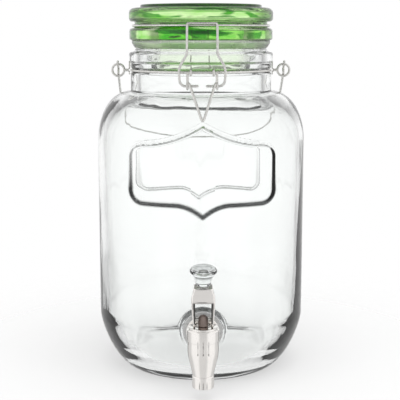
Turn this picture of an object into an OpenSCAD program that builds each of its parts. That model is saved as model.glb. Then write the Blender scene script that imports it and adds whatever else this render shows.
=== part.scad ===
// Clip-top glass dispenser jar with a wire clamp, a wire carrying handle and a lever tap.
// The jar stands on z = 0 with its axis on Z, and the tap and the clamp face -Y.

/* [Jar] */
// Outside diameter of the body
body_d = 160; // [140:1:180]
// Height of the rim that the gasket rests on
jar_h = 246.3; // [230:0.1:280]
// Glass thickness of the body's side
body_wall = 4.2; // [3:0.1:6]
// Glass thickness of the floor above the standing plane
floor_t = 8; // [6:0.5:10]
// Diameter of the ring that the jar stands on
foot_d = 117; // [100:1:124]
// Height of the rounded heel
heel_h = 40; // [32:1:50]
// Depth of the hollow under the floor
punt_depth = 3; // [1:0.5:4.5]
// Outside diameter of the neck
neck_d = 108.4; // [104:0.1:116]
// Inside diameter of the mouth
mouth_d = 94; // [88:0.5:96]
// Height of the neck, from the shoulder to the rim
neck_h = 32.8; // [30:0.1:40]
// Height of the rounded shoulder
shoulder_h = 37; // [30:1:44]
// How far the collar under the rim stands out from the neck
collar_out = 1.1; // [0.6:0.1:2]
// Height of that collar
collar_h = 7.6; // [6:0.1:9]

/* [Raised frame] */
// Width of the raised frame on the front and the back
frame_w = 106; // [90:1:110]
// Height of the frame's straight lower edge on the front
frame_z = 135.4; // [125:0.1:140]
// Height from the lower edge to the upper edge
frame_h = 45.1; // [38:0.1:50]
// How far the point above the upper edge rises
frame_peak = 14.4; // [8:0.1:16]
// How far the point below the lower edge hangs
frame_drop = 8.4; // [5:0.1:12]
// Radius of the frame's corners
frame_corner = 10; // [6:0.5:14]
// Width of the raised line
ridge_w = 2.2; // [1.5:0.1:3]
// How far the raised line stands out from the glass
ridge_out = 0.8; // [0.5:0.1:1.2]
// How much lower the frame on the back sits
back_frame_down = 10; // [0:1:14]

/* [Lid] */
// Diameter of the lid's upper bead
lid_d = 110.4; // [108:0.1:114]
// Diameter of the lid's lower bead
lower_bead_d = 109.8; // [108:0.1:114]
// Height of the lower bead
lower_bead_h = 9.2; // [8:0.1:11]
// Height of the groove between the beads
groove_h = 4.6; // [4.4:0.1:6]
// Height of the upper bead
upper_bead_h = 10.4; // [8:0.1:12]
// Height of the raised disc on top
disc_h = 2.4; // [1.5:0.1:4]
// Diameter of that disc
disc_d = 93; // [80:1:98]
// Outside diameter of the plug that hangs in the mouth
plug_d = 76; // [68:1:84]
// How far the plug hangs below the rim
plug_depth = 15.3; // [10:0.1:20]
// Glass thickness of the plug and the crown
lid_glass = 5; // [4:0.5:7]
// Thickness of the gasket
gasket_t = 5.8; // [4:0.1:7]

/* [Wire clamp] */
// Diameter of the band of wire round the neck
band_wire_d = 2; // [1.6:0.1:2.2]
// Diameter of the wire of the hoop, the loop and the lever
clamp_wire_d = 1.9; // [1.6:0.1:2]
// Height of the neck band below the rim
band_down = 16.7; // [15:0.1:20]
// Depth of the groove that the neck band lies in
band_groove = 1.8; // [1.2:0.1:2]
// Distance from the jar's axis to the lid hinge
hinge_y = 61.5; // [60.5:0.1:66]
// Half the length of the hinge bar
hinge_half = 14; // [12:0.5:18]
// Distance from the jar's axis to the lever's pivot
pivot_y = 57.2; // [57:0.1:58]
// Half the distance between the lever's two pivot eyes
pivot_half = 8.2; // [7:0.1:9]
// How far the loop's hooked ends sit below the lever's pivot
throw_h = 9.6; // [9:0.1:11]
// Half the width of the loop where it crosses the lid
loop_top_half = 10.2; // [9.8:0.1:11]
// Half the width of the loop at its widest
loop_wide_half = 16.8; // [15:0.1:18]
// Height of the lever's handle, from its coils to its tip
lever_reach = 23; // [18:0.5:23]
// How far the lever's tip stands out in front of its coils
lever_lean = 22; // [22:0.5:28]

/* [Carrying handle] */
// Distance from the jar's axis to each handle ring
ring_x = 63.8; // [62:0.1:66]
// Radius of the handle rings, to the centre of the wire
ring_r = 4.6; // [4.6:0.1:5.4]
// Diameter of the wire of the rings and the handle
handle_wire_d = 1.8; // [1.6:0.1:1.8]
// Clearance between the resting handle and the side of the jar
handle_clear = 2.2; // [2.2:0.1:12]
// Length of the handle's straight arms
handle_arm = 50; // [46:1:54]
// How far the resting handle drops behind the jar, in degrees below level
handle_drop = 33; // [20:0.5:33]
// Length of the tails above the rings
handle_tail = 9; // [6:0.5:12]

/* [Tap] */
// Height of the tap hole
tap_z = 45.5; // [44:0.1:50]
// Distance from the face of the tap's boss on the jar to the tap's upright barrel
tap_out = 15.5; // [15.5:0.1:20]
// Diameter of the outlet nozzle
nozzle_d = 15.7; // [14:0.1:17]
// Bore of the outlet nozzle
nozzle_bore = 12.6; // [10:0.1:12.6]
// Height of the nozzle's mouth above the standing plane
nozzle_z = 8.8; // [6:0.1:12]
// Diameter of the barrel
barrel_d = 22.4; // [21:0.1:23]
// Diameter of the band round the top of the barrel
band_d = 23; // [22:0.1:25]
// Diameter of the threaded shank
shank_d = 15.8; // [14:0.1:16]
// Diameter of the washers' outer edge
washer_d = 29; // [26:0.5:30]
// Thickness of the outer washer
washer_t = 2.6; // [1.5:0.1:3]
// Width of the tap lever
lever_w = 17; // [15:0.1:18]
// Width of the lever's fork
fork_w = 11.4; // [9:0.1:12]
// Height of the lever above its pin
lever_h = 24; // [22:0.5:30]
// Thickness of the lever at its top, front to back
lever_t = 8.6; // [8:0.1:10]
// Height of the window between the lever's prongs, above its pin
window_h = 12.6; // [11:0.1:13]
// How far the lever lifts the valve
valve_lift = 4; // [2:0.5:5]
// How far the lever turns, in degrees
lever_turn = 75; // [45:5:80]
// Diameter of the clear knob
knob_d = 19; // [16:0.5:22]
// Height of the clear knob
knob_h = 13; // [10:0.5:16]
// Forward tilt of the knob, in degrees
knob_tilt = 15; // [0:1:20]
// Diameter of the valve stem
stem_d = 4.4; // [4:0.1:5]
// Diameter of the wire of the valve spring
spring_wire_d = 0.9; // [0.6:0.05:1]

/* [Clearances] */
// Gap between pieces that move apart
gap = 0.3; // [0.2:0.05:0.4]
// Radial clearance of a pin in its hole
running = 0.06; // [0.03:0.01:0.1]
// Radial clearance of a wire in its eye
eye_gap = 0.2; // [0.1:0.05:0.3]

/* [Hidden] */
$fn = 96;

glass_clear = [0.86, 0.92, 0.9, 0.45];
glass_green = [0.35, 0.75, 0.25, 0.7];
steel = [0.72, 0.73, 0.75];
chrome = [0.85, 0.84, 0.83];

// Jar
body_r = body_d / 2;
neck_r = neck_d / 2;
mouth_r = mouth_d / 2;
foot_r = foot_d / 2;
inner_r = body_r - body_wall;
neck_z = jar_h - neck_h;
shoulder_z = neck_z - shoulder_h;
floor_r = foot_r - 2.5;
inner_heel_h = heel_h + 2 - floor_t;
inner_top_z = neck_z - body_wall;
heel_power = 1.44;
collar_z = jar_h - 2.8 - collar_h;
band_z = jar_h - band_down;
groove_r = neck_r - band_groove;
neck_root_r = 1.5;
root_r = neck_r + neck_root_r;

// Lid
gasket_z = jar_h + gap;
flange_z = gasket_z + gasket_t;
hoop_groove_z = flange_z + lower_bead_h;
upper_z = hoop_groove_z + groove_h;
disc_z = upper_z + upper_bead_h;
lid_top_z = disc_z + disc_h;
hoop_groove_r = 50.9 / 55.2 * lid_d / 2;
locate_r = mouth_r - 1.4;
plug_z = jar_h - plug_depth;
gasket_r = neck_r - 1.1;
rim_r = neck_r - 3.4;

// Clamp
clamp_r = clamp_wire_d / 2;
band_wire_r = band_wire_d / 2;
band_r = groove_r + 0.1 + band_wire_r;
hoop_r = hoop_groove_r + eye_gap + clamp_r;
hoop_z = hoop_groove_z + 0.7 + clamp_r;
eye_r = clamp_r + eye_gap + clamp_r;
bar_r = band_wire_r - 0.1;
hinge_eye_r = bar_r + running + clamp_r;
loop_bar = [-(hoop_r + 1.75), hoop_z + 1.35];
coil_y = pivot_y - 0.2;
coil_z = band_z - throw_h;
coil_half = 10.6;
pivot_eye_r = clamp_r + running + clamp_r;

// Handle
handle_r = handle_wire_d / 2;
crank = handle_wire_d + gap;
handle_reach = (body_r + handle_clear + handle_r + crank * sin(handle_drop)) / cos(handle_drop);

// Tap
barrel_r = barrel_d / 2;
top_band_r = band_d / 2;
shank_r = shank_d / 2;
washer_r = washer_d / 2;
boss_r = washer_r + 1;
boss_y = body_r + 1.5;
tap_y = boss_y + tap_out;
boss_in_y = inner_r - 2.2;
flange_t = 2.2;
flange_y = boss_y + washer_t;
inner_washer_t = 2;
nut_t = 7;
nut_flats = 24;
chamber_r = 8.2;
waterway_r = 4.8;
cone_z = nozzle_z + 9.4;
barrel_z = cone_z + 15.6;
top_band_z = barrel_z + 9.6;
bonnet_z = top_band_z + 8.8;
bonnet_t = 1.2;
cam_face_z = bonnet_z + bonnet_t;
cam_low = 4.75;
pin_z = cam_face_z + 0.2 + cam_low;
cam_rise = valve_lift / (lever_turn * PI / 180);
pin_r = 1.25;
seat_z = cone_z + 5.4;
stem_r = stem_d / 2;
stem_flange_z = seat_z + 8.4;
stem_flange_t = 1.4;
spring_wire_r = spring_wire_d / 2;
spring_r = stem_r + 2.1;
stud_r = 2.5;
knob_front = 7.6;
knob_seat_z = pin_z + lever_h - 4;
knob_shift = 3.4;

// Points of an arc about c, from angle a0 to a1 in n steps
function arc(c, r, a0, a1, n = 6) =
    [for (i = [0:n]) let (a = a0 + (a1 - a0) * i / n) c + r * [cos(a), sin(a)]];

// Points of an upright quarter ellipse, from its level side up to its top
function shoulder(c, a, b, n = 9) =
    [for (i = [0:n]) let (t = 90 * i / n) c + [a * cos(t), b * sin(t)]];

// Points of the rounded heel, which leaves the floor level and meets the side upright
function heel(r0, r1, z0, h, n = 9) =
    [for (i = [0:n]) let (z = h * pow(i / n, 1.7), u = 1 - z / h)
        [r0 + (r1 - r0) * pow(1 - pow(u, heel_power), 1 / heel_power), z0 + z]];

// Unit vector
function unit(v) = v / norm(v);

// Directions along a path of points
function headings(p) = [for (i = [0:len(p) - 1])
    let (before = i == 0 ? p[1] - p[0] : p[i] - p[i - 1],
         after = i == len(p) - 1 ? before : p[i + 1] - p[i])
    unit(unit(before) + unit(after))];

// Side directions carried along the path without twist
function sides_of(t, first, i = 0, done = []) =
    i == len(t) ? done :
    let (last = i == 0 ? first : done[i - 1], side = unit(last - (last * t[i]) * t[i]))
    sides_of(t, first, i + 1, concat(done, [side]));

// Points of a path with each corner turned into a smooth bend that starts b before it
function bend(p, b, n = 4) = concat([p[0]],
    [for (i = [1:len(p) - 2], k = [0:n])
        let (s = k / n, q0 = p[i] + unit(p[i - 1] - p[i]) * b, q1 = p[i] + unit(p[i + 1] - p[i]) * b)
        (1 - s) * (1 - s) * q0 + 2 * s * (1 - s) * p[i] + s * s * q1],
    [p[len(p) - 1]]);

// Round wire along a path
module wire(path, r, first = [1, 0, 0], n = 10) {
    t = headings(path);
    u = sides_of(t, first);
    last = len(path) - 1;
    points = [for (i = [0:last], k = [0:n - 1])
        path[i] + r * (cos(360 * k / n) * u[i] + sin(360 * k / n) * cross(t[i], u[i]))];
    walls = [for (i = [0:last - 1], k = [0:n - 1]) let (m = (k + 1) % n)
        [i * n + k, (i + 1) * n + k, (i + 1) * n + m, i * n + m]];
    polyhedron(points, concat([[for (k = [0:n - 1]) k]], walls,
                              [[for (k = [n - 1:-1:0]) last * n + k]]));
}

// Ring of round wire about an axis along Z
module ring(r, wire_r) {
    rotate_extrude() translate([r, 0]) circle(wire_r);
}

// Rod along X, centred on x = 0
module rod_x(r, length) {
    rotate([0, 90, 0]) cylinder(r = r, h = length, center = true);
}

// Rod along -Y from y0 to y1, both given as distances in front of the jar's axis
module rod_y(r, y0, y1) {
    translate([0, -y0, 0]) rotate([90, 0, 0]) cylinder(r = r, h = y1 - y0);
}

// Both sides of something that is built on the right
module both() {
    children();
    mirror([1, 0, 0]) children();
}

// Half outline of the outside of the glass from the standing ring to the neck
function glass_outside(grow = 0) = concat(
    heel(foot_r, body_r + grow, 0, heel_h),
    shoulder([root_r, shoulder_z], body_r - root_r + grow, shoulder_h + grow));

// Outline of the raised frame, drawn in inset steps of w
function frame_side(w) = let (x = frame_w / 2 - w, c = frame_corner - w,
        low = w, high = frame_h - w, foot = 20, head = 46, n = 8)
    concat(
        [for (i = [0:n]) let (t = i / n) [foot * t, low - frame_drop * (1 - t) * (1 - t)]],
        arc([x - c, low + c], c, -90, 0),
        arc([x - c, high - c], c, 0, 90),
        [for (i = [1:n]) let (t = 1 - i / n, p = (x - c) * t)
            [p, high + frame_peak * pow(1 - p / head, 2) - frame_peak * pow(1 - (x - c) / head, 2)]]);

function frame_outline(w) = let (half = frame_side(w))
    concat(half, [for (i = [len(half) - 2:-1:1]) [-half[i][0], half[i][1]]]);

module raised_frame(z) {
    intersection() {
        translate([0, -body_r * 0.6, z]) rotate([90, 0, 0]) linear_extrude(body_r)
            difference() {
                polygon(frame_outline(0));
                polygon(frame_outline(ridge_w));
            }
        rotate_extrude() polygon(concat(
            [[body_r * 0.55, heel_h]],
            [for (p = glass_outside(ridge_out)) if (p[1] >= heel_h) p],
            [[body_r * 0.55, neck_z + ridge_out]]));
    }
}

module jar() {
    outside = concat(
        [[0, punt_depth], [foot_r - 14, punt_depth], [foot_r - 8, 0]],
        glass_outside(),
        arc([root_r, neck_z + neck_root_r], neck_root_r, -90, -180, 3),
        [[neck_r, band_z - 2.6]],
        arc([groove_r + 1.6, band_z], 1.6, -120, -240, 4),
        [[neck_r, band_z + 2.6], [neck_r, collar_z - 1]],
        arc([neck_r + collar_out - 1.4, collar_z + 1.4], 1.4, -60, 0, 3),
        arc([neck_r + collar_out - 2, collar_z + collar_h - 2], 2, 0, 80, 4),
        [[rim_r, collar_z + collar_h + 0.9]],
        arc([rim_r - 1, jar_h - 1], 1, 0, 90, 3));
    inside = concat(
        arc([mouth_r + 1, jar_h - 1], 1, 90, 180, 3),
        [[mouth_r, inner_top_z + 3]],
        [for (i = [8:-1:0]) shoulder([mouth_r, shoulder_z], inner_r - mouth_r,
                                     inner_top_z - shoulder_z, 8)[i]],
        [for (i = [8:-1:0]) heel(floor_r, inner_r, floor_t, inner_heel_h, 8)[i]],
        [[0, floor_t]]);
    color(glass_clear) difference() {
        union() {
            difference() {
                union() {
                    rotate_extrude() polygon(concat(outside, [[0, jar_h]]));
                    raised_frame(frame_z);
                    rotate([0, 0, 180]) raised_frame(frame_z - back_frame_down);
                    translate([0, 0, tap_z]) rod_y(boss_r, boss_in_y, boss_y);
                }
                rotate_extrude() polygon(concat(inside, [[0, jar_h + 1], [mouth_r + 1, jar_h + 1]]));
            }
            translate([0, 0, tap_z]) rod_y(boss_r - 2, boss_in_y, boss_y - 1);
        }
        translate([0, 0, tap_z]) rod_y(shank_r + gap, boss_in_y - 5, boss_y + 1);
    }
}

module lid() {
    upper_r = lid_d / 2;
    lower_r = lower_bead_d / 2;
    soft = 2.6;
    crown_z = disc_z - lid_glass - 2;
    plug_r = plug_d / 2;
    color(glass_green) rotate_extrude() polygon(concat(
        [[0, crown_z], [plug_r - lid_glass - 8, crown_z]],
        arc([plug_r - lid_glass - 8, crown_z - 8], 8, 90, 0, 5),
        [[plug_r - lid_glass, plug_z + 1]],
        arc([plug_r - 1.6, plug_z + 1.6], 1.6, -90, 0, 3),
        [[plug_r + 1.5, jar_h - 0.4], [locate_r, jar_h - 0.4], [locate_r, flange_z],
         [lower_r - 1.6, flange_z]],
        arc([lower_r - 1.4, flange_z + 1.4], 1.4, -90, 0, 3),
        arc([lower_r - soft, hoop_groove_z - soft], soft, 0, 90, 5),
        arc([hoop_groove_r + 0.7, hoop_groove_z + 0.7], 0.7, -90, -180, 2),
        arc([hoop_groove_r + 0.7, upper_z - 0.7], 0.7, 180, 90, 2),
        arc([upper_r - soft, upper_z + soft], soft, -90, 0, 5),
        arc([upper_r - soft - 1.4, disc_z - soft - 1.4], soft + 1.4, 0, 90, 6),
        [[disc_d / 2, disc_z]],
        arc([disc_d / 2 - 0.8, lid_top_z - 0.8], 0.8, 0, 90, 2),
        [[disc_d / 2 - 5, lid_top_z], [disc_d / 2 - 7, lid_top_z - 1.2], [0, lid_top_z - 1.2]]));
}

module lid_gasket() {
    color([0.9, 0.9, 0.86, 0.9]) rotate_extrude() polygon(concat(
        [[locate_r, gasket_z + 0.4], [locate_r + 0.6, gasket_z], [rim_r, gasket_z]],
        [[gasket_r, flange_z - 2.4]],
        arc([gasket_r - 0.8, flange_z - 0.8], 0.8, 0, 90, 3),
        [[locate_r, flange_z]]));
}

module lid_hoop() {
    leg_x = hinge_half - 4;
    open_a = asin(leg_x / hoop_r);
    n = 72;
    loop = [for (i = [0:n]) let (a = 90 - open_a - (360 - 2 * open_a) * i / n)
        [hoop_r * cos(a), hoop_r * sin(a), hoop_z]];
    eye_top = band_z + hinge_eye_r;
    color(steel) {
        wire(concat(
            bend([[leg_x, hinge_y, eye_top - 0.2], [leg_x, hinge_y, hoop_z], loop[1]], 4),
            [for (i = [2:n - 2]) loop[i]],
            bend([loop[n - 1], [-leg_x, hinge_y, hoop_z], [-leg_x, hinge_y, eye_top - 0.2]], 4)),
            clamp_r);
        both() translate([leg_x, hinge_y, band_z]) rotate([0, 90, 0]) ring(hinge_eye_r, clamp_r);
    }
}

module neck_band() {
    elbow = 3;
    ring_y = sqrt(pow(band_r, 2) - pow(hinge_half, 2));
    color(steel) translate([0, 0, band_z]) {
        ring(band_r, band_wire_r);
        translate([0, hinge_y, 0]) rod_x(bar_r, 2 * (hinge_half - elbow));
        both() {
            translate([hinge_half, hinge_y - elbow, 0]) rotate([90, 0, 0])
                cylinder(r = bar_r, h = hinge_y - elbow - ring_y + 0.3);
            translate([hinge_half - elbow, hinge_y - elbow, 0])
                rotate_extrude(angle = 90) translate([elbow, 0]) circle(bar_r);
            translate([pivot_half, 0, 0]) {
                translate([0, -pivot_y, 0]) rotate([0, 90, 0]) ring(pivot_eye_r, clamp_r);
                rod_y(clamp_r - 0.15, band_r, pivot_y - pivot_eye_r);
            }
        }
    }
}

module locking_loop() {
    widest_r = max(lower_bead_d / 2, neck_r + collar_out);
    side_y = sqrt(pow(widest_r, 2) - pow(loop_top_half, 2)) + clamp_r + gap;
    right = [[loop_wide_half - 2.9, -coil_y, coil_z], [loop_wide_half - 0.6, -coil_y, coil_z + 2.6],
             [loop_wide_half, -coil_y, coil_z + 10], [loop_wide_half - 0.9, -coil_y + 0.3, coil_z + 14.6],
             [loop_top_half + 0.8, -side_y, coil_z + 22.5], [loop_top_half + 0.6, -side_y, loop_bar[1] - 2.4],
             [loop_top_half + 0.6, loop_bar[0], loop_bar[1]]];
    corners = concat([[3.5, -coil_y, coil_z]], right,
                     [for (i = [len(right) - 1:-1:0]) [-right[i][0], right[i][1], right[i][2]]],
                     [[-3.5, -coil_y, coil_z]]);
    color(steel) {
        wire(bend(corners, 1.6, 3), clamp_r - 0.02, [0, 1, 0]);
        both() translate([(3.5 + loop_wide_half - 4.6) / 2, -coil_y, coil_z])
            rod_x(clamp_r, loop_wide_half - 8.1);
    }
}

module clamp_lever() {
    tip = [0, -coil_y - lever_lean, coil_z - lever_reach];
    color(steel) {
        translate([0, -pivot_y, band_z]) rod_x(clamp_r, 2 * pivot_half + 2.2);
        both() {
            wire(bend([[pivot_half + 0.2, -pivot_y, band_z], [coil_half, -pivot_y, band_z],
                       [coil_half, -coil_y - 0.2, coil_z + eye_r - 0.2]], 1.6), clamp_r - 0.02, [0, 1, 0]);
            translate([coil_half, -coil_y, coil_z]) rotate([0, 90, 0]) ring(eye_r, clamp_r);
        }
        wire(bend([[coil_half - 0.5, -coil_y - 0.6, coil_z + eye_r],
                   [coil_half - 1.4, -coil_y - eye_r - 0.9, coil_z + 1.6],
                   tip + [3.9, 0, 0], tip + [-3.9, 0, 0],
                   [-coil_half + 1.4, -coil_y - eye_r - 0.9, coil_z + 1.6],
                   [-coil_half + 0.5, -coil_y - 0.6, coil_z + eye_r]], 2.1), clamp_r, [0, 1, 0]);
    }
}

// Handle ring on the right, with its twisted shank and its two cut ends over the neck band
module handle_ring() {
    strand = handle_r * 0.62;
    end_x = band_r + band_wire_r + strand + 0.1;
    shank_x = end_x + 0.7;
    shank_end = ring_x - ring_r;
    lay = strand * 0.8;
    n = 10;
    color(steel) {
        translate([ring_x, 0, band_z]) rotate([90, 0, 0]) ring(ring_r, handle_r);
        for (up = [1, -1]) translate([0, 0, band_z])
            wire(concat(
                bend([[end_x, 0, up * (up > 0 ? 6.5 : 3)], [end_x, 0, up * strand * 2.2],
                      [shank_x + 0.3, 0, up * lay]], 0.6, 2),
                [for (i = [1:n]) let (t = i / n, a = 90 + 360 * t)
                    [shank_x + 0.3 + (shank_end - shank_x - 0.3) * t,
                     up * lay * cos(a), up * lay * sin(a)]]),
                strand, [0, 1, 0], 8);
    }
}

module right_ring() {
    handle_ring();
}

module left_ring() {
    mirror([1, 0, 0]) handle_ring();
}

module carry_handle() {
    out = [0, cos(handle_drop), -sin(handle_drop)];
    over = [0, sin(handle_drop), cos(handle_drop)];
    pivot = [ring_x, 0, band_z];
    rise = handle_reach - handle_arm;
    side = [pivot + over * crank - out * handle_tail, pivot + over * crank,
            pivot - over * crank, pivot - over * crank + out * handle_arm];
    arch = [for (a = [6:6:174])
        [ring_x * cos(a), 0, band_z] - over * crank + out * (handle_arm + rise * sin(a))];
    flip = [for (p = side) [-p[0], p[1], p[2]]];
    color(steel) wire(concat(
        bend([side[0], side[1], side[2], side[3]], 0.6, 3),
        arch,
        bend([flip[3], flip[2], flip[1], flip[0]], 0.6, 3)),
        handle_r, [1, 0, 0]);
}

module tap_body() {
    nozzle_r = nozzle_d / 2;
    color(chrome) difference() {
        union() {
            translate([0, -tap_y, 0]) rotate_extrude() polygon([
                [0, nozzle_z], [nozzle_r - 0.4, nozzle_z], [nozzle_r, nozzle_z + 0.4],
                [nozzle_r, cone_z - 1.2], [nozzle_r - 0.5, cone_z - 0.6], [nozzle_r - 0.25, cone_z],
                [barrel_r, barrel_z], [barrel_r, top_band_z - 0.4], [top_band_r, top_band_z],
                [top_band_r, bonnet_z - 1], [top_band_r - 1, bonnet_z], [0, bonnet_z]]);
            translate([0, 0, tap_z]) {
                rod_y(shank_r, boss_in_y - inner_washer_t - nut_t - 2.5, flange_y);
                rod_y(washer_r - 2.5, flange_y, flange_y + flange_t);
                rod_y(shank_r - 1.3, flange_y, tap_y);
            }
        }
        translate([0, -tap_y, 0]) rotate_extrude() polygon([
            [0, nozzle_z - 1], [nozzle_bore / 2, nozzle_z - 1], [nozzle_bore / 2, cone_z - 2.5],
            [waterway_r, cone_z - 1], [waterway_r, seat_z], [chamber_r, seat_z + 3.4],
            [chamber_r, bonnet_z + 1], [0, bonnet_z + 1]]);
        translate([0, 0, tap_z]) rod_y(waterway_r, boss_in_y - 15, tap_y);
    }
}

module tap_bonnet() {
    color(chrome) translate([0, -tap_y, 0]) difference() {
        rotate_extrude() polygon([
            [0, bonnet_z - 1.6], [chamber_r - 0.05, bonnet_z - 1.6], [chamber_r - 0.05, bonnet_z],
            [top_band_r - 1.1, bonnet_z], [top_band_r - 1.1, cam_face_z - 0.5],
            [top_band_r - 1.6, cam_face_z], [0, cam_face_z]]);
        translate([0, 0, bonnet_z - 3]) cylinder(r = stem_r + running, h = 6);
        translate([0, 0, bonnet_z - 3]) cylinder(r = stem_r + 1.3, h = 2.4);
    }
}

module bonnet_seal() {
    color([0.15, 0.15, 0.15]) translate([0, -tap_y, bonnet_z - 1.1])
        ring(stem_r + running + 0.5, 0.5);
}

// Lever profile in the upright plane through the pin, y forward and z up from the pin.
// Its foot is a cam: the support height grows evenly with the turn, so each point is
// the foot of the height plus a sideways step of the rise per radian.
function cam_point(a) = let (h = cam_low + cam_rise * a * PI / 180)
    h * [sin(a), -cos(a)] + cam_rise * [cos(a), sin(a)];

module lever_profile() {
    cam = [for (a = [0:5:lever_turn]) cam_point(a)];
    heel_out = 4.6;
    front = [[0.72, 0.18], [0.63, 0.33], [0.65, 0.58], [0.77, 0.83], [0.95, 1]];
    back = [[-0.07, 1.09], [-0.19, 0.67], [-0.35, 0.33]];
    polygon(concat(
        [[-heel_out + 1, -cam_low]], cam,
        [for (p = concat(front, back)) [p[0] * lever_t, p[1] * lever_h]],
        [[-heel_out, 2], [-heel_out, -cam_low + 1]]));
}

// Half of the lever's outline seen from the front, from its foot up to its rounded shoulder
function lever_front(half) = concat(
    [[half - 1.1, -cam_low - 1], [half - 0.1, lever_h * 0.42], [half, lever_h * 0.63],
     [half - 0.6, lever_h * 0.83]],
    arc([half - 3.4, lever_h - 0.4], 2.6, 0, 90, 3));

module tap_lever() {
    deep = lever_h + tap_out;
    right = lever_front(lever_w / 2);
    left = [for (i = [len(right) - 1:-1:0]) [-right[i][0], right[i][1]]];
    color(chrome) difference() {
        translate([0, -tap_y, pin_z]) difference() {
            intersection() {
                rotate([90, 0, -90]) translate([0, 0, -lever_w / 2])
                    linear_extrude(lever_w) lever_profile();
                rotate([90, 0, 0]) translate([0, 0, -deep / 2])
                    linear_extrude(deep) polygon(concat(right, left));
            }
            translate([-fork_w / 2, -deep / 2, -cam_low - 2]) cube([fork_w, deep, cam_low + 2 + window_h]);
            rod_x(pin_r + running, lever_w + 2);
        }
        at_knob() cylinder(r = stud_r + 0.1, h = lever_h / 2);
    }
}

// Puts the knob and the hole for its stud on top of the lever
module at_knob() {
    translate([0, -tap_y - knob_front, knob_seat_z]) rotate([knob_tilt, 0, 0])
        translate([0, knob_shift, 0]) children();
}

module lever_pin() {
    color(steel) translate([0, -tap_y, pin_z]) rod_x(pin_r, lever_w - 2.4);
}

module lever_knob() {
    r = knob_d / 2;
    foot = 6.8;
    color([0.9, 0.95, 0.95, 0.5]) at_knob() rotate_extrude() polygon(concat(
        [[0, 0.3], [stud_r, 0.3], [stud_r, foot], [r - 4.2, foot]],
        [for (i = [0:6]) let (t = i / 6) [r - 4 + 3.2 * t * t, foot + 0.2 + (knob_h - 4) * t]],
        arc([r - 1, knob_h + foot - 2.8], 1, -20, 100, 4),
        [[r - 3.5, knob_h + foot - 2.6], [r - 6, knob_h + foot - 3.6], [0, knob_h + foot - 3.6]]));
}

module valve_stem() {
    head_r = 3.6;
    color([0.25, 0.2, 0.18]) translate([0, -tap_y, 0]) difference() {
        union() {
            translate([0, 0, seat_z + 2]) cylinder(r = stem_r, h = pin_z - seat_z - 2);
            translate([0, 0, stem_flange_z]) cylinder(r = spring_r + 1.7, h = stem_flange_t);
            translate([0, 0, cam_face_z + gap]) cylinder(r = head_r, h = pin_z - cam_face_z - gap);
            translate([0, 0, pin_z]) sphere(head_r);
        }
        translate([0, 0, pin_z]) rod_x(pin_r + running, 20);
    }
}

module valve_plug() {
    color([0.12, 0.12, 0.12]) translate([0, -tap_y, 0]) difference() {
        rotate_extrude() polygon([
            [0, seat_z - 0.6], [waterway_r - 1.2, seat_z - 0.6], [chamber_r - gap - 0.5, seat_z + 3.4],
            [chamber_r - gap - 0.5, seat_z + 4.2], [stem_r + 3.2, seat_z + 6],
            [stem_r + 2.2, stem_flange_z], [0, stem_flange_z]]);
        translate([0, 0, seat_z + 2]) cylinder(r = stem_r, h = 10);
    }
}

module valve_spring() {
    low = stem_flange_z + stem_flange_t + spring_wire_r + 0.05;
    high = bonnet_z - 1.6 - spring_wire_r - 0.05;
    turns = 5;
    n = turns * 12;
    color(steel) translate([0, -tap_y, 0])
        wire([for (i = [0:n]) let (a = 360 * turns * i / n)
            [spring_r * cos(a), spring_r * sin(a), low + (high - low) * i / n]],
            spring_wire_r, [1, 0, 0], 6);
}

module washer(r, hole, t, y) {
    translate([0, 0, tap_z]) difference() {
        rod_y(r, y, y + t);
        rod_y(hole, y - 1, y + t + 1);
    }
}

module outer_washer() {
    color([0.75, 0.76, 0.76]) washer(washer_r, shank_r + running, washer_t, boss_y);
}

module inner_washer() {
    color([0.75, 0.76, 0.76])
        washer(washer_r - 2.5, shank_r + running, inner_washer_t, boss_in_y - inner_washer_t);
}

module back_nut() {
    nut_y = boss_in_y - inner_washer_t - nut_t;
    color(chrome) translate([0, 0, tap_z]) difference() {
        translate([0, -nut_y, 0]) rotate([90, 30, 0]) cylinder(r = nut_flats / sqrt(3), h = nut_t, $fn = 6);
        rod_y(shank_r + running, nut_y - 1, nut_y + nut_t + 1);
    }
}

jar();
lid();
lid_gasket();
lid_hoop();
neck_band();
locking_loop();
clamp_lever();
left_ring();
right_ring();
carry_handle();
tap_body();
tap_bonnet();
bonnet_seal();
tap_lever();
lever_pin();
lever_knob();
valve_stem();
valve_plug();
valve_spring();
outer_washer();
inner_washer();
back_nut();
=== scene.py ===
"""Clip-top glass dispenser jar: glass, wire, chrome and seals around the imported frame."""

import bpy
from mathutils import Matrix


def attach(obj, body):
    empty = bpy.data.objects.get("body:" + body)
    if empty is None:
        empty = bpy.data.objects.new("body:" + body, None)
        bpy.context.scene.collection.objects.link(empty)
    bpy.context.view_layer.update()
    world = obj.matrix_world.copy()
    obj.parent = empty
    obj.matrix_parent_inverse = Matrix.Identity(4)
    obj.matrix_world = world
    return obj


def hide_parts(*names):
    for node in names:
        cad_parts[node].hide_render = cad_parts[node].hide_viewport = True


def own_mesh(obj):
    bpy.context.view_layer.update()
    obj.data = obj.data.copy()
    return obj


bl_info = {
    "name": "Clip-top dispenser jar",
    "version": (1, 0, 0),
    "blender": (4, 5, 0),
    "location": "View3D > Sidebar > Jar",
    "description": "Builds the surfaces of a glass dispenser jar with a wire clamp and a lever tap",
    "category": "Object",
}

import math
from itertools import accumulate

import bpy
import numpy as np
from mathutils import Vector

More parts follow.
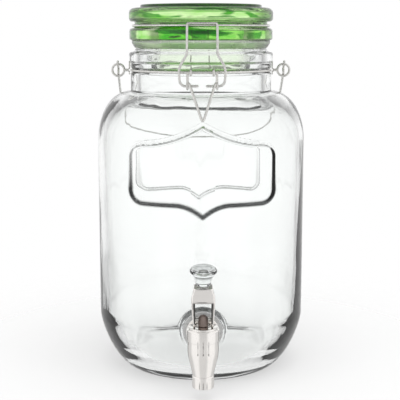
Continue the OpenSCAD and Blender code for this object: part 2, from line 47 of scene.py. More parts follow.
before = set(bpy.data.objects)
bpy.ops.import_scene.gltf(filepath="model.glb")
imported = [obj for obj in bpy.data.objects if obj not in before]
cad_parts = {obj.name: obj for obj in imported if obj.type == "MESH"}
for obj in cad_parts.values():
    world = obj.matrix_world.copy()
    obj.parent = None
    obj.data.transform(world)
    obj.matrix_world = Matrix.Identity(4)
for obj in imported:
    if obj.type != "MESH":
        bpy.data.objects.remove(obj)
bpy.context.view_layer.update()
MM = 0.001
TAU = 2 * math.pi
SMOOTH_ANGLE = math.radians(38)


# ---------------------------------------------------------------- settings


def length(name, description, default):
    """A size in millimetres, shown in the panel."""
    return bpy.props.FloatProperty(name=name, description=description, default=default, min=0.0)


def colour(name, description, default):
    """A linear colour, shown in the panel."""
    return bpy.props.FloatVectorProperty(
        name=name, description=description, default=default, size=3, subtype="COLOR", min=0, max=1
    )


class JarSizes(bpy.types.PropertyGroup):
    """Sizes of the glass jar, in millimetres."""

    body_r: length("Body radius", "Outside radius of the body", 80.0)
    wall: length("Wall", "Glass thickness of the side", 4.2)
    foot_r: length("Foot radius", "Radius where the heel meets the standing plane", 58.5)
    heel_h: length("Heel height", "Height of the rounded heel", 40.0)
    floor_t: length("Floor", "Height of the inner floor", 8.0)
    shoulder_z: length("Shoulder height", "Height where the shoulder starts", 176.5)
    neck_z: length("Neck height", "Height where the neck starts", 213.5)
    neck_r: length("Neck radius", "Outside radius of the neck", 54.2)
    mouth_r: length("Mouth radius", "Inside radius of the mouth", 47.0)
    rim_z: length("Rim height", "Height of the rim", 246.3)
    band_z: length("Band height", "Height of the neck band's groove", 229.6)
    frame_z: length("Frame height", "Height of the raised frame's lower edge on the front", 135.4)
    back_down: length("Back frame drop", "How much lower the frame on the back sits", 10.0)
    ridge_out: length("Ridge", "How far the raised line stands out", 1.9)
    ridge_w: length("Ridge width", "Width of the raised line", 2.2)


class LidSizes(bpy.types.PropertyGroup):
    """Sizes of the lid and its gasket, in millimetres."""

    upper_r: length("Upper bead", "Radius of the upper bead", 55.2)
    lower_r: length("Lower bead", "Radius of the lower bead", 54.9)
    flange_z: length("Flange height", "Height of the lid's seat on the gasket", 252.4)
    groove_z: length("Groove height", "Height of the groove's floor edge", 261.6)
    upper_z: length("Upper bead height", "Height where the upper bead starts", 266.2)
    disc_z: length("Disc height", "Height of the top around the disc", 276.6)
    top_z: length("Top", "Height of the raised disc", 279.0)
    disc_r: length("Disc radius", "Radius of the raised disc", 46.5)
    plug_r: length("Plug radius", "Radius of the plug in the mouth", 38.0)
    plug_z: length("Plug height", "Height of the plug's lower edge", 231.0)


class WireSizes(bpy.types.PropertyGroup):
    """Sizes of the wires, in millimetres."""

    clamp_r: length("Clamp wire", "Radius of the hoop's, loop's and lever's wire", 0.95)
    band_r: length("Band wire", "Radius of the neck band's wire", 1.0)
    bar_r: length("Hinge wire", "Radius of the hinge bar's wire", 0.9)
    handle_r: length("Handle wire", "Radius of the handle's wire", 0.9)
    hinge_y: length("Hinge distance", "Distance of the hinge bar behind the axis", 61.5)
    pivot_y: length("Pivot distance", "Distance of the lever's pivot before the axis", 57.2)
    ring_x: length("Ring distance", "Distance of the handle rings from the axis", 63.8)


class TapSizes(bpy.types.PropertyGroup):
    """Sizes of the tap, in millimetres."""

    hole_z: length("Hole height", "Height of the tap hole", 45.5)
    barrel_y: length("Barrel distance", "Distance of the barrel before the jar's axis", 97.0)
    nozzle_r: length("Nozzle", "Radius of the nozzle", 7.85)
    barrel_r: length("Barrel", "Radius of the barrel", 11.2)
    band_r: length("Band", "Radius of the band round the barrel's top", 11.5)
    pin_z: length("Pin height", "Height of the lever's pin", 58.35)
    knob_r: length("Knob", "Radius of the knob's rim", 9.5)


class Finishes(bpy.types.PropertyGroup):
    """Colours of the materials."""

    glass: colour("Clear glass", "Tint of the clear glass", (0.985, 0.996, 0.991))
    green: colour("Green glass", "Tint of the lid's glass", (0.42, 0.83, 0.19))
    steel: colour("Steel wire", "Colour of the wires", (0.84, 0.83, 0.80))
    chrome: colour("Chrome", "Colour of the tap", (0.93, 0.90, 0.87))
    gasket: colour("Gasket", "Colour of the gasket", (0.965, 0.97, 0.965))
    plastic: colour("Clear plastic", "Colour of the knob", (0.96, 0.98, 0.98))
    stem: colour("Stem", "Colour of the valve stem", (0.29, 0.225, 0.20))


GROUPS = {
    "jar_sizes": JarSizes,
    "lid_sizes": LidSizes,
    "wire_sizes": WireSizes,
    "tap_sizes": TapSizes,
    "jar_finishes": Finishes,
}


def sizes(name):
    """The settings group of that name, on the scene."""
    return getattr(bpy.context.scene, name)


# ---------------------------------------------------------------- surfaces


def arc(centre, radius, start, end, steps=8):
    """Points of a circle's arc: centre plus radius times (cos, sin), from start to end in degrees."""
    a = np.radians(np.linspace(start, end, steps + 1))
    return np.c_[centre[0] + radius * np.cos(a), centre[1] + radius * np.sin(a)]


def between(start, end, steps):
    """Points evenly spaced on a straight line, both ends included."""
    t = np.linspace(0, 1, steps + 1)[:, None]
    return np.asarray(start, float) * (1 - t) + np.asarray(end, float) * t


def mirror(points):
    """The points on the other side of x = 0, in reverse order."""
    return (np.asarray(points, float) * [-1, 1, 1])[::-1]


def rounded(corners, radius, steps=4):
    """A polyline whose corners become parabolas that start radius before each corner."""
    p = np.asarray(corners, float)
    reach = np.broadcast_to(np.asarray(radius, float), (len(p) - 2,))
    before, after = p[:-2] - p[1:-1], p[2:] - p[1:-1]
    lb, la = np.linalg.norm(before, axis=1), np.linalg.norm(after, axis=1)
    reach = np.minimum(reach, 0.49 * np.minimum(lb, la))
    q0 = p[1:-1] + before / lb[:, None] * reach[:, None]
    q1 = p[1:-1] + after / la[:, None] * reach[:, None]
    s = np.linspace(0, 1, steps + 1)[None, :, None]
    bends = (1 - s) ** 2 * q0[:, None] + 2 * s * (1 - s) * p[1:-1][:, None] + s**2 * q1[:, None]
    return np.vstack([p[:1], bends.reshape(-1, p.shape[1]), p[-1:]])


def block(inner, outer, low, high):
    """Corners of a rectangular profile, from the lower inside to the upper inside."""
    return [(inner, low), (outer, low), (outer, high), (inner, high)]


def grid_faces(rows, columns, wrap):
    """Quads of a grid that goes round, facing outwards where its rows go up; wrap joins last to first."""
    i = np.arange(rows if wrap else rows - 1)[:, None]
    j = np.arange(columns)[None, :]
    i2, j2 = (i + 1) % rows, (j + 1) % columns
    corners = (i, j), (i, j2), (i2, j2), (i2, j)
    return np.stack([a * columns + b for a, b in corners], axis=-1).reshape(-1, 4)


def fan(pole, ring, outwards):
    """Triangles from one pole to a closed ring of vertices."""
    pair = (np.roll(ring, -1), ring) if outwards else (ring, np.roll(ring, -1))
    return np.stack([np.full(len(ring), pole), *pair], axis=-1)


def grid_surface(verts, rows, columns, poles=(None, None), wrap=False):
    """Vertices, quads and triangles of a grid that goes round, with a fan to each pole that is given."""
    verts, tris = verts.reshape(-1, 3), [np.zeros((0, 3), int)]
    for pole, start, outwards in zip(poles, (0, (rows - 1) * columns), (True, False)):
        if pole is not None:
            tris.append(fan(len(verts), start + np.arange(columns), outwards))
            verts = np.vstack([verts, pole])
    return verts, grid_faces(rows, columns, wrap), np.vstack(tris)


def revolve(profile, angles=96, offset=None, wrap=False):
    """A profile of (radius, height) points swept round Z: x = r cos a, y = r sin a.

    A profile that starts or ends on the axis closes there in a pole; wrap joins its last point to its
    first. The offset, one number for each profile point and angle, is added to the radius.
    """
    p = np.asarray(profile, float)
    a = np.linspace(0, TAU, angles, endpoint=False) if np.isscalar(angles) else np.asarray(angles)
    on_axis = p[[0, -1], 0] < 1e-9
    skin = slice(int(on_axis[0]), len(p) - int(on_axis[1]))
    body = p[skin]
    r = np.broadcast_to(body[:, :1] + (0 if offset is None else offset[skin]), (len(body), len(a)))
    verts = np.stack([r * np.cos(a), r * np.sin(a), np.broadcast_to(body[:, 1:], r.shape)], axis=-1)
    poles = [(0, 0, end[1]) if closes else None for end, closes in zip(p[[0, -1]], on_axis)]
    return grid_surface(verts, len(body), len(a), poles, wrap)


def transport(tangents, first):
    """Side directions carried along the tangents without twist, each the last one made square again."""

    def square(side, tangent):
        side = side - (side @ tangent) * tangent
        return side / np.linalg.norm(side)

    return np.array(list(accumulate(tangents, square, initial=np.asarray(first, float))))[1:]


def tube(path, radius, sides=14, first=(1, 0, 0), ring=False):
    """Round wire along a path: each point plus radius times (cos, sin) across it.

    The ends are rounded, unless the path is a ring. The wire must not start along first.
    """
    p = np.asarray(path, float)
    t = np.roll(p, -1, axis=0) - np.roll(p, 1, axis=0) if ring else np.gradient(p, axis=0)
    t /= np.linalg.norm(t, axis=1)[:, None]
    side = transport(t, first)
    up = np.cross(t, side)
    r = np.full(len(p), float(radius))
    poles = (None, None)
    if not ring:
        past_end = np.array([0.35, 0.75])
        shrink = np.sqrt(1 - past_end**2)
        head = p[0] - t[0] * radius * past_end[::-1, None]
        tail = p[-1] + t[-1] * radius * past_end[:, None]
        p = np.vstack([head, p, tail])
        r = np.r_[radius * shrink[::-1], r, radius * shrink]
        side, up = (np.vstack([d[:1], d[:1], d, d[-1:], d[-1:]]) for d in (side, up))
        poles = (p[0] - t[0] * r[1] * 0.3, p[-1] + t[-1] * r[-2] * 0.3)
    a = np.linspace(0, TAU, sides, endpoint=False)
    across = np.cos(a)[None, :, None] * side[:, None] + np.sin(a)[None, :, None] * up[:, None]
    return grid_surface(p[:, None] + r[:, None, None] * across, len(p), sides, poles, ring)


def torus(centre, axis, ring_r, wire_r, around=44, sides=16):
    """A wire ring: the circle of radius ring_r about axis, carrying a round section."""
    axis = np.asarray(axis, float)
    u = np.cross(axis, [0.3, 0.5, 0.81])
    u /= np.linalg.norm(u)
    v = np.cross(axis, u)
    a = np.linspace(0, TAU, around, endpoint=False)[:, None]
    path = np.asarray(centre) + ring_r * (np.cos(a) * u + np.sin(a) * v)
    return tube(path, wire_r, sides, axis, ring=True)


def loft(sections, wrap=False):
    """A stack of closed sections, each with as many points, joined by quads and closed at both ends."""
    s = np.asarray(sections, float)
    poles = (None, None) if wrap else (s[0].mean(0), s[-1].mean(0))
    return grid_surface(s, *s.shape[:2], poles, wrap)


def join(*surfaces):
    """Several surfaces as one, their faces renumbered."""
    base = np.cumsum([0] + [len(v) for v, _, _ in surfaces[:-1]])
    parts = [(v, q + n, t + n) for (v, q, t), n in zip(surfaces, base)]
    return tuple(np.vstack(group) for group in zip(*parts))


def placed(surface, shift=(0, 0, 0), matrix=np.eye(3)):
    """The surface turned by a 3 by 3 matrix and then shifted; a mirrored one has its faces turned back."""
    v, q, t = surface
    if np.linalg.det(matrix) < 0:
        q, t = q[:, ::-1], t[:, ::-1]
    return v @ matrix.T + shift, q, t


def turn_x(degrees):
    """Rotation about X."""
    c, s = math.cos(math.radians(degrees)), math.sin(math.radians(degrees))
    return np.array([[1, 0, 0], [0, c, -s], [0, s, c]])


TO_FRONT = turn_x(90)
TO_SIDE = np.array([[0, 0, 1], [0, 1, 0], [-1, 0, 0]])
FLIP_X, FLIP_Y = np.diag([-1, 1, 1]), np.diag([1, -1, 1])


def show(name, data):
    """A new object with that data, in the scene."""
    obj = bpy.data.objects.new(name, data)
    bpy.context.scene.collection.objects.link(obj)
    return obj


def mesh_of(name, surface):
    """A mesh from a surface in millimetres."""
    v, q, t = surface
    mesh = bpy.data.meshes.new(name)
    mesh.from_pydata((v * MM).tolist(), [], q.tolist() + t.tolist())
    return mesh


def smooth(mesh, sharp_angle):
    """Smooth shading with sharp edges past the angle."""
    mesh.shade_smooth()
    mesh.set_sharp_from_angle(angle=sharp_angle)


def piece(name, surface, look, body, *nodes):
    """An object from a surface in millimetres, riding on its body and standing for its CAD nodes."""
    mesh = mesh_of(name, surface)
    mesh.validate()
    smooth(mesh, SMOOTH_ANGLE)
    slot, material = finish(look)
    mesh.materials.append(material)
    obj = show(name, mesh)
    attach(obj, body)
    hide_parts(*nodes)
    return obj


def carve(obj, surface, sharp_angle):
    """Takes a closed surface, in millimetres, out of the object and keeps what is left as its mesh."""
    tool = show("cutter", mesh_of("cutter", surface))
    cut = obj.modifiers.new("cut", "BOOLEAN")
    cut.operation, cut.solver, cut.object = "DIFFERENCE", "EXACT", tool
    graph = bpy.context.evaluated_depsgraph_get()
    result = bpy.data.meshes.new_from_object(obj.evaluated_get(graph), depsgraph=graph)
    obj.modifiers.clear()
    obj.data = result
    bpy.data.objects.remove(tool)
    smooth(obj.data, sharp_angle)


def mark_painted_dark(mesh, strength):
    """The attribute "line", painted darkening of a finish (shade along the glass frames, a dark reflection
    round the lever's window): a strength by the vertices' x, y and z in millimetres.
    """
    v = np.zeros(len(mesh.vertices) * 3)
    mesh.vertices.foreach_get("co", v)
    values = strength(*(v.reshape(-1, 3).T / MM))
    mesh.attributes.new("line", "FLOAT", "POINT").data.foreach_set("value", values.astype(np.float32))


# ---------------------------------------------------------------- materials


def shade(base, factor):
    """The colour times a factor."""
    return tuple(min(1.0, c * factor) for c in base)


class Graph:
    """A node tree with short ways to add nodes to it."""

    def __init__(self, tree):
        self.tree = tree

    def fill(self, socket, value):
        """Links the socket to another node's output, or sets its number, vector or colour."""
        if isinstance(value, bpy.types.NodeSocket):
            self.tree.links.new(value, socket)
        else:
            socket.default_value = (*value, 1) if socket.type == "RGBA" else value

    def add(self, kind, inputs=(), **settings):
        """The outputs of a new node with its settings, and its inputs by name or number."""
        node = self.tree.nodes.new("ShaderNode" + kind)
        for key, value in settings.items():
            setattr(node, key, value)
        for key, value in dict(inputs).items():
            self.fill(node.inputs[key], value)
        return node.outputs

    def surface(self, kind, shader):
        """Links the shader to the surface of a new output node."""
        self.fill(self.tree.nodes.new("ShaderNode" + kind).inputs["Surface"], shader)

    def math(self, operation, first, second=0.0):
        """The sum, product or the like of two numbers."""
        return self.add("Math", {0: first, 1: second}, operation=operation)[0]

    def product(self, first, *others):
        """All the numbers multiplied."""
        for other in others:
            first = self.math("MULTIPLY", first, other)
        return first

    def level(self, share, low, high):
        """low where share is 0, high where it is 1."""
        rest = self.math("SUBTRACT", 1.0, share)
        return self.math("ADD", self.math("MULTIPLY", rest, low), self.math("MULTIPLY", share, high))

    def spread(self, value, low, high, start=0.3, end=0.7, kind="LINEAR"):
        """The value from start to end stretched to low to high."""
        inputs = {"Value": value, "From Min": start, "From Max": end, "To Min": low, "To Max": high}
        return self.add("MapRange", inputs, interpolation_type=kind)["Result"]

    def step(self, value, start, end, low, high):
        """A smooth step from low to high as the value goes from start to end."""
        return self.spread(value, low, high, start, end, "SMOOTHSTEP")

    def blend(self, share, first, second):
        """A colour between first and second, by share."""
        return self.add("Mix", {"Factor": share, "A": first, "B": second}, data_type="RGBA")["Result"]

    def distance(self, point):
        """The length of a vector."""
        return self.add("VectorMath", {0: point}, operation="LENGTH")["Value"]


class Finish(Graph):
    """A material with one Principled shader and helpers that add nodes on Object coordinates."""

    def __init__(self, name, **values):
        self.mat = bpy.data.materials.new(name)
        self.mat.use_nodes = True
        super().__init__(self.mat.node_tree)
        self.shader = self.tree.nodes["Principled BSDF"]
        self.coords = self.add("TexCoord")["Object"]
        self.set(**values)

    def set(self, **values):
        """Sets or links the shader's inputs, named with _ for a space."""
        for key, value in values.items():
            self.fill(self.shader.inputs[key.replace("_", " ")], value)

    def noise(self, scale, detail=2.0, stretch=(1, 1, 1), offset=(0, 0, 0), distortion=0.0):
        """Noise at that many cells a metre, its cells divided along each axis by stretch."""
        place = self.add("Mapping", {"Vector": self.coords, "Scale": stretch, "Location": offset})
        inputs = {"Vector": place["Vector"], "Scale": scale, "Detail": detail, "Distortion": distortion}
        return self.add("TexNoise", inputs)["Fac"]

    def drift(self, tint, factor, scale, detail=2.0):
        """The tint, going over to a factor of it in patches of noise."""
        return self.blend(self.spread(self.noise(scale, detail), 0, 1), tint, shade(tint, factor))

    def with_painted_dark(self, colour, dark):
        """The colour, and the painted dark one where the mesh's attribute "line" is 1."""
        return self.blend(self.add("Attribute", attribute_name="line")["Fac"], colour, dark)

    def bump(self, height, distance):
        """Bump of the height times distance, added to any bump made earlier."""
        normal = self.shader.inputs["Normal"]
        inputs = {"Distance": distance, "Strength": 1.0, "Height": height}
        if normal.is_linked:
            inputs["Normal"] = normal.links[0].from_socket
        self.fill(normal, self.add("Bump", inputs)["Normal"])

    def grain(self, tint, factor, patches, dull, rough, fine):
        """Patches of a second shade, duller patches between two roughnesses, and a fine grain."""
        self.set(Base_Color=self.drift(tint, factor, *patches))
        self.set(Roughness=self.spread(self.noise(dull, 3), *rough))
        self.bump(self.noise(fine, 2), 0.00002)
        return self.mat


def clear_glass(tint):
    """Pressed glass: slow waves in the surface, fine flow lines, a tint that drifts a little, and painted
    shade along the raised frames, for the dark lines that the ridges show by refraction."""
    f = Finish("clear_glass", Transmission_Weight=1.0, IOR=1.5, Roughness=0.0)
    # painted shade: the glass goes near black where the attribute "line" marks the frames
    f.set(Base_Color=f.with_painted_dark(f.drift(tint, 0.975, 18), (0.006, 0.0065, 0.0065)))
    f.bump(f.noise(30, 1.5, (1, 1, 0.45)), 0.0005)
    f.bump(f.noise(110, 1.0, (1, 1, 0.3)), 0.00004)
    return f.mat


def green_glass(tint):
    """Coloured glass, pale in the thin plug; in the beads, painted highlights as pale streaks and painted
    dark reflections as dark streaks and veins; painted shade at the disc's edge.
    """
    plug_to_beads, disc_edge_z, disc_edge_r = (0.2515, 0.2535), (0.2754, 0.2762), (0.0445, 0.0456)

    def deeper(power, factor=1.0):
        """The tint to a power, times a factor: paler below a power of 1, deeper above it."""
        return tuple(factor * c**power for c in tint)

    f = Finish("green_glass", Transmission_Weight=1.0, IOR=1.52, Roughness=0.0)
    height = f.add("SeparateXYZ", {0: f.coords})["Z"]
    flat = f.add("Mapping", {"Vector": f.coords, "Scale": (1, 1, 0)})["Vector"]
    # painted highlights and painted dark reflections: streaks between a pale and a deep tint, and dark veins
    streaks = f.spread(f.noise(28, 3, (1, 1, 6)), 0, 1, 0.42, 0.6)
    painted_dark_veins = f.spread(f.noise(17, 2, (1, 1, 9), (0.3, 0.1, 0.7), 0.4), 0, 1, 0.53, 0.58)
    beads = f.blend(painted_dark_veins, f.blend(streaks, deeper(0.5), deeper(2.0)), deeper(5, 0.4))
    glass = f.blend(f.spread(height, 0, 1, *plug_to_beads), deeper(0.06), beads)
    # painted shade: the glass at the disc's edge goes nearly black
    edge = f.product(f.spread(height, 0, 1, *disc_edge_z), f.spread(f.distance(flat), 0, 1, *disc_edge_r))
    f.set(Base_Color=f.blend(edge, glass, deeper(3, 0.06)))
    f.bump(f.noise(45, 1.5, (1, 1, 2.2)), 0.0005)
    return f.mat


def chrome(tint):
    """Plated finish: a mirror with faint orange peel and duller patches, and a painted dark reflection round
    the lever's window.
    """
    f = Finish("tap_chrome", Metallic=1.0)
    # painted dark reflection where the attribute "line" marks the window's edge
    f.set(Base_Color=f.with_painted_dark(f.drift(tint, 0.96, 60), (0.03, 0.028, 0.027)))
    f.set(Roughness=f.spread(f.noise(90, 3), 0.035, 0.09))
    f.bump(f.noise(420, 2), 0.00001)
    return f.mat


def wire_steel(tint):
    """Drawn wire: satin steel with streaks and darker specks."""
    return Finish("wire_steel", Metallic=1.0).grain(tint, 0.78, (700, 3), 350, (0.2, 0.36), 1500)


def soft_seal(name, tint, roughness, transmission):
    """Moulded rubber or silicone: satin, a little cloudy, with a fine skin."""
    f = Finish(name, Transmission_Weight=transmission, IOR=1.41)
    return f.grain(tint, 0.9, (80, 3), 200, (roughness * 0.8, roughness * 1.2), 1200)


def moulded(name, tint, roughness, transmission):
    """Moulded plastic: an even colour with slow drifts, light sink marks and a fine grain."""
    f = Finish(name, Transmission_Weight=transmission, IOR=1.49)
    return f.grain(tint, 0.9, (120, 2), 260, (roughness * 0.7, roughness * 1.3), 900)


LOOKS = {
    "clear_glass": ("clear_glass", lambda c: clear_glass(c.glass)),
    "green_glass": ("green_glass", lambda c: green_glass(c.green)),
    "steel": ("steel_wire", lambda c: wire_steel(c.steel)),
    "chrome": ("tap_chrome", lambda c: chrome(c.chrome)),
    "gasket": ("gasket_rubber", lambda c: soft_seal("silicone", c.gasket, 0.3, 0.9)),
    "washer": ("washer_rubber", lambda c: soft_seal("washer_silicone", shade(c.gasket, 0.845), 0.3, 0.3)),
    "black_rubber": ("seal_rubber", lambda c: soft_seal("black_rubber", (0.02, 0.02, 0.022), 0.5, 0.0)),
    "plastic": ("clear_plastic", lambda c: moulded("clear_plastic", c.plastic, 0.02, 1.0)),
    "nut": ("nut_plastic", lambda c: moulded("nut_plastic", (0.7, 0.71, 0.72), 0.3, 0.0)),
    "stem": ("stem_plastic", lambda c: moulded("stem_plastic", c.stem, 0.3, 0.0)),
}
MATERIALS = {}


def finish(look):
    """The slot and the material of that look, made on first use from the panel's colours."""
    slot, make = LOOKS[look]
    if look not in MATERIALS:
        MATERIALS[look] = make(sizes("jar_finishes"))
    return slot, MATERIALS[look]


# ---------------------------------------------------------------- glass


BOSS_OUT = 1.5
BOSS_R = 15.5
GLASS_SHARP = math.radians(62)


def outer_radius(z, s):
    """Radius of the jar's outside: a rounded power curve in the heel, a straight side, an ellipse above."""
    power = 1.44
    u = np.clip(1 - z / s.heel_h, 0, 1)
    heel = s.foot_r + (s.body_r - s.foot_r) * (1 - u**power) ** (1 / power)
    top = s.neck_r + 1.5
    w = np.clip((z - s.shoulder_z) / (s.neck_z - s.shoulder_z), 0, 1)
    shoulder = top + (s.body_r - top) * np.sqrt(1 - w**2)
    return np.where(z < s.heel_h, heel, shoulder)


def frame_outline(inset):
    """Outline of the raised frame about x = 0 with its lower edge at 0: rounded corners, a point below
    whose sides sag as a parabola, and a peak above whose sides fall as a parabola."""
    width, height, peak, drop, corner, foot, head = 106, 45.1, 14.4, 8.4, 10, 20, 46
    x, c, low, high = width / 2 - inset, corner - inset, inset, height - inset
    t = np.linspace(0, 1, 13)
    below = np.c_[foot * t, low - drop * (1 - t) ** 2]
    p = (x - c) * (1 - t[1:])
    above = np.c_[p, high + peak * (1 - p / head) ** 2 - peak * (1 - (x - c) / head) ** 2]
    half = np.vstack([below, arc((x - c, low + c), c, -90, 0), arc((x - c, high - c), c, 0, 90), above])
    return np.vstack([half, (half * [-1, 1])[-2:0:-1]])


def distance_to(outline, x, z):
    """Distance of each point (x, z) from a closed outline, segment by segment."""
    p = np.stack([x, z], axis=-1)[..., None, :]
    along = np.roll(outline, -1, axis=0) - outline
    t = np.clip(((p - outline) * along).sum(-1) / (along**2).sum(-1), 0, 1)
    return np.linalg.norm(p - outline - t[..., None] * along, axis=-1).min(-1)


def near_frames(x, y, z, s, among=True):
    """For the frame in front and the one behind: which points are near it, their distance from its
    middle line, and their height over its lower edge."""
    half_reach, below, above = 58, 14, 66
    middle = frame_outline(s.ridge_w / 2)
    for side, low in ((-1, s.frame_z), (1, s.frame_z - s.back_down)):
        near = among & (y * side > 0) & (abs(x) < half_reach) & (z > low - below) & (z < low + above)
        over = z[near] - low
        yield near, distance_to(middle, -side * x[near], over), over


def relief(z, angles, s, hole_z):
    """What the raised frames and the tap's boss add to the radius.

    The ridge is a cosine bump on its distance from the frame's line. The boss is the plane in front of
    the glass, reached by a smooth step at its round edge.
    """
    edge = 1.3
    r = outer_radius(z, s)[:, None]
    x, y = r * np.cos(angles), r * np.sin(angles)
    height = np.broadcast_to(z[:, None], x.shape)
    out = np.zeros(x.shape)
    for near, d, _ in near_frames(x, y, height, s):
        out[near] += s.ridge_out * 0.5 * (1 + np.cos(math.pi * np.clip(d / (s.ridge_w * 0.8), 0, 1)))
    w = np.clip((BOSS_R + edge - np.hypot(x, height - hole_z)) / edge, 0, 1) * (y < 0)
    w = w * w * (3 - 2 * w)
    plane = (s.body_r + BOSS_OUT) / np.maximum(-np.sin(angles), 0.5) - r
    return np.where(w > 0, out * (1 - w) + w * plane, out)


def painted_frame_shade(x, y, z, s):
    """How much painted shade lies on the glass along the frames, for the dark lines the ridges show by
    refraction: a bell curve of the distance from the frame's line, on the outside only, strong along the
    lower edge and the sides and faint along the top and behind."""
    outside = np.hypot(x, y) > s.body_r - 0.5 * s.wall - 6 * (z > s.shoulder_z)
    line = np.zeros(len(x))
    for most, (near, d, over) in zip((1.0, 0.35), near_frames(x, y, z, s, outside)):
        up = np.clip((over - 12) / 26, 0, 1)
        bell = 2.6 * np.exp(-((d / (1.4 - 0.7 * up)) ** 2))
        line[near] = most * (1 - 0.93 * up) * np.minimum(1, bell)
    return line


def jar_angles(body_r):
    """Angles round the jar: close where the frames' sides stand, wider between them and on the flanks."""
    dense, side_line = math.asin(56 / body_r), math.asin(49 / body_r)
    close, wide = 0.55 / body_r, 1.15 / body_r
    facing = [
        np.arange(-dense, -side_line, close),
        np.arange(-side_line, side_line, wide),
        np.arange(side_line, dense, close),
    ]
    flank = np.linspace(dense, dense + (math.pi - 2 * dense), 30, endpoint=False)
    half = np.r_[(*facing, flank)]
    return np.r_[half - math.pi / 2, half + math.pi / 2]


def jar_heights(s):
    """Heights of the outside, from the foot to the neck: close over the heel, the boss and the frames."""
    heel = s.heel_h * (np.linspace(0, 1, 26) ** 1.7)
    turn = np.radians(np.linspace(37, 86, 16))
    return np.r_[
        heel[heel < 29],
        np.arange(29, 62.5, 1.1),
        np.linspace(63, 113, 6),
        np.arange(114, 149, 0.55),
        np.arange(149, 166, 1.6),
        np.arange(166, 198.5, 0.8),
        s.shoulder_z + (s.neck_z - s.shoulder_z) * np.sin(turn),
    ]


def jar_neck(s):
    """Profile of the neck: its root, the band's groove, the collar and the rim."""
    n, g, c, rim = s.neck_r, s.band_z, s.rim_z - 10.4, s.rim_z - 1
    return np.vstack([
        arc((n + 1.5, s.neck_z + 1.5), 1.5, -90, -180, 5),
        [(n, s.neck_z + 8), (n, g - 2.8), (n - 0.35, g - 1.9)],
        arc((n - 0.2, g), 1.6, -120, -240, 6),
        [(n - 0.35, g + 1.9), (n, g + 2.8), (n, c - 1.2)],
        arc((n - 0.3, c + 1.4), 1.4, -60, 0, 5),
        arc((n - 0.9, c + 5.6), 2, 0, 80, 7),
        [(n - 2.6, c + 8.1), (n - 3.4, c + 8.6)],
        arc((n - 4.4, rim), 1, 0, 90, 5),
        arc((s.mouth_r + 1, rim), 1, 90, 180, 5),
    ])


def jar_inside(s):
    """Profile of the inside, from the mouth down: a shoulder, a wall, a rounded heel and the floor."""
    inner_r, top, flat_r, heel_h, floor = s.body_r - s.wall, s.neck_z - s.wall, 52, 38, s.floor_t
    t = np.radians(np.linspace(88, 0, 14))
    across = s.mouth_r + (inner_r - s.mouth_r) * np.cos(t)
    rise = s.shoulder_z + (top - s.shoulder_z) * np.sin(t)
    u = np.linspace(1, 0, 16) ** 1.7
    heel_r = flat_r + (inner_r - flat_r) * (1 - (1 - u) ** 1.44) ** (1 / 1.44)
    base = [(47, floor), (25, floor + 0.6), (0, floor + 0.8)]
    return np.vstack([[(s.mouth_r, top + 3)], np.c_[across, rise], np.c_[heel_r, floor + heel_h * u], base])


def jar_surface(s, hole_z):
    """The jar's glass: one closed profile swept round, its outside raised by the relief and its inside
    drifting in slow waves, as pressed glass does."""
    angles, z = jar_angles(s.body_r), jar_heights(s)
    foot = [(0, 3), (s.foot_r - 26, 2.6), (s.foot_r - 9, 0), (s.foot_r - 0.01, 0)]
    base = rounded(foot, [8, 5], 6)[:-1]
    neck, inside = jar_neck(s), jar_inside(s)
    profile = np.vstack([base, np.c_[outer_radius(z, s), z], neck, inside])
    offset = np.zeros((len(profile), len(angles)))
    offset[len(base) : len(base) + len(z)] = relief(z, angles, s, hole_z)
    r, height = inside[1:, :1], inside[1:, 1:]
    wave = np.sin(3 * angles + 0.7) + 0.6 * np.sin(5 * angles + height / 40) + 0.4 * np.sin(9 * angles + 2)
    near_wall = np.clip((r / (s.body_r - s.wall) - 0.72) / 0.28, 0, 1)
    offset[-len(r) :] = -(0.75 + 0.35 * wave) * near_wall
    return revolve(profile, angles, offset)


class JAR_OT_glass(bpy.types.Operator):
    """Builds the glass jar with its raised frames, its boss and the hole for the tap"""

    bl_idname = "jar.glass"
    bl_label = "Glass jar"

    def execute(self, context):
        s, t = sizes("jar_sizes"), sizes("tap_sizes")
        obj = piece("jar_glass", jar_surface(s, t.hole_z), "clear_glass", "jar_body", "jar")
        hole_r, start, end = 8.2, 60, 90
        carve(obj, through_wall(revolve(block(0, hole_r, start, end), 64), t), GLASS_SHARP)
        # painted shade along the frames, kept in the attribute "line"
        mark_painted_dark(obj.data, lambda x, y, z: painted_frame_shade(x, y, z, s))
        return {"FINISHED"}


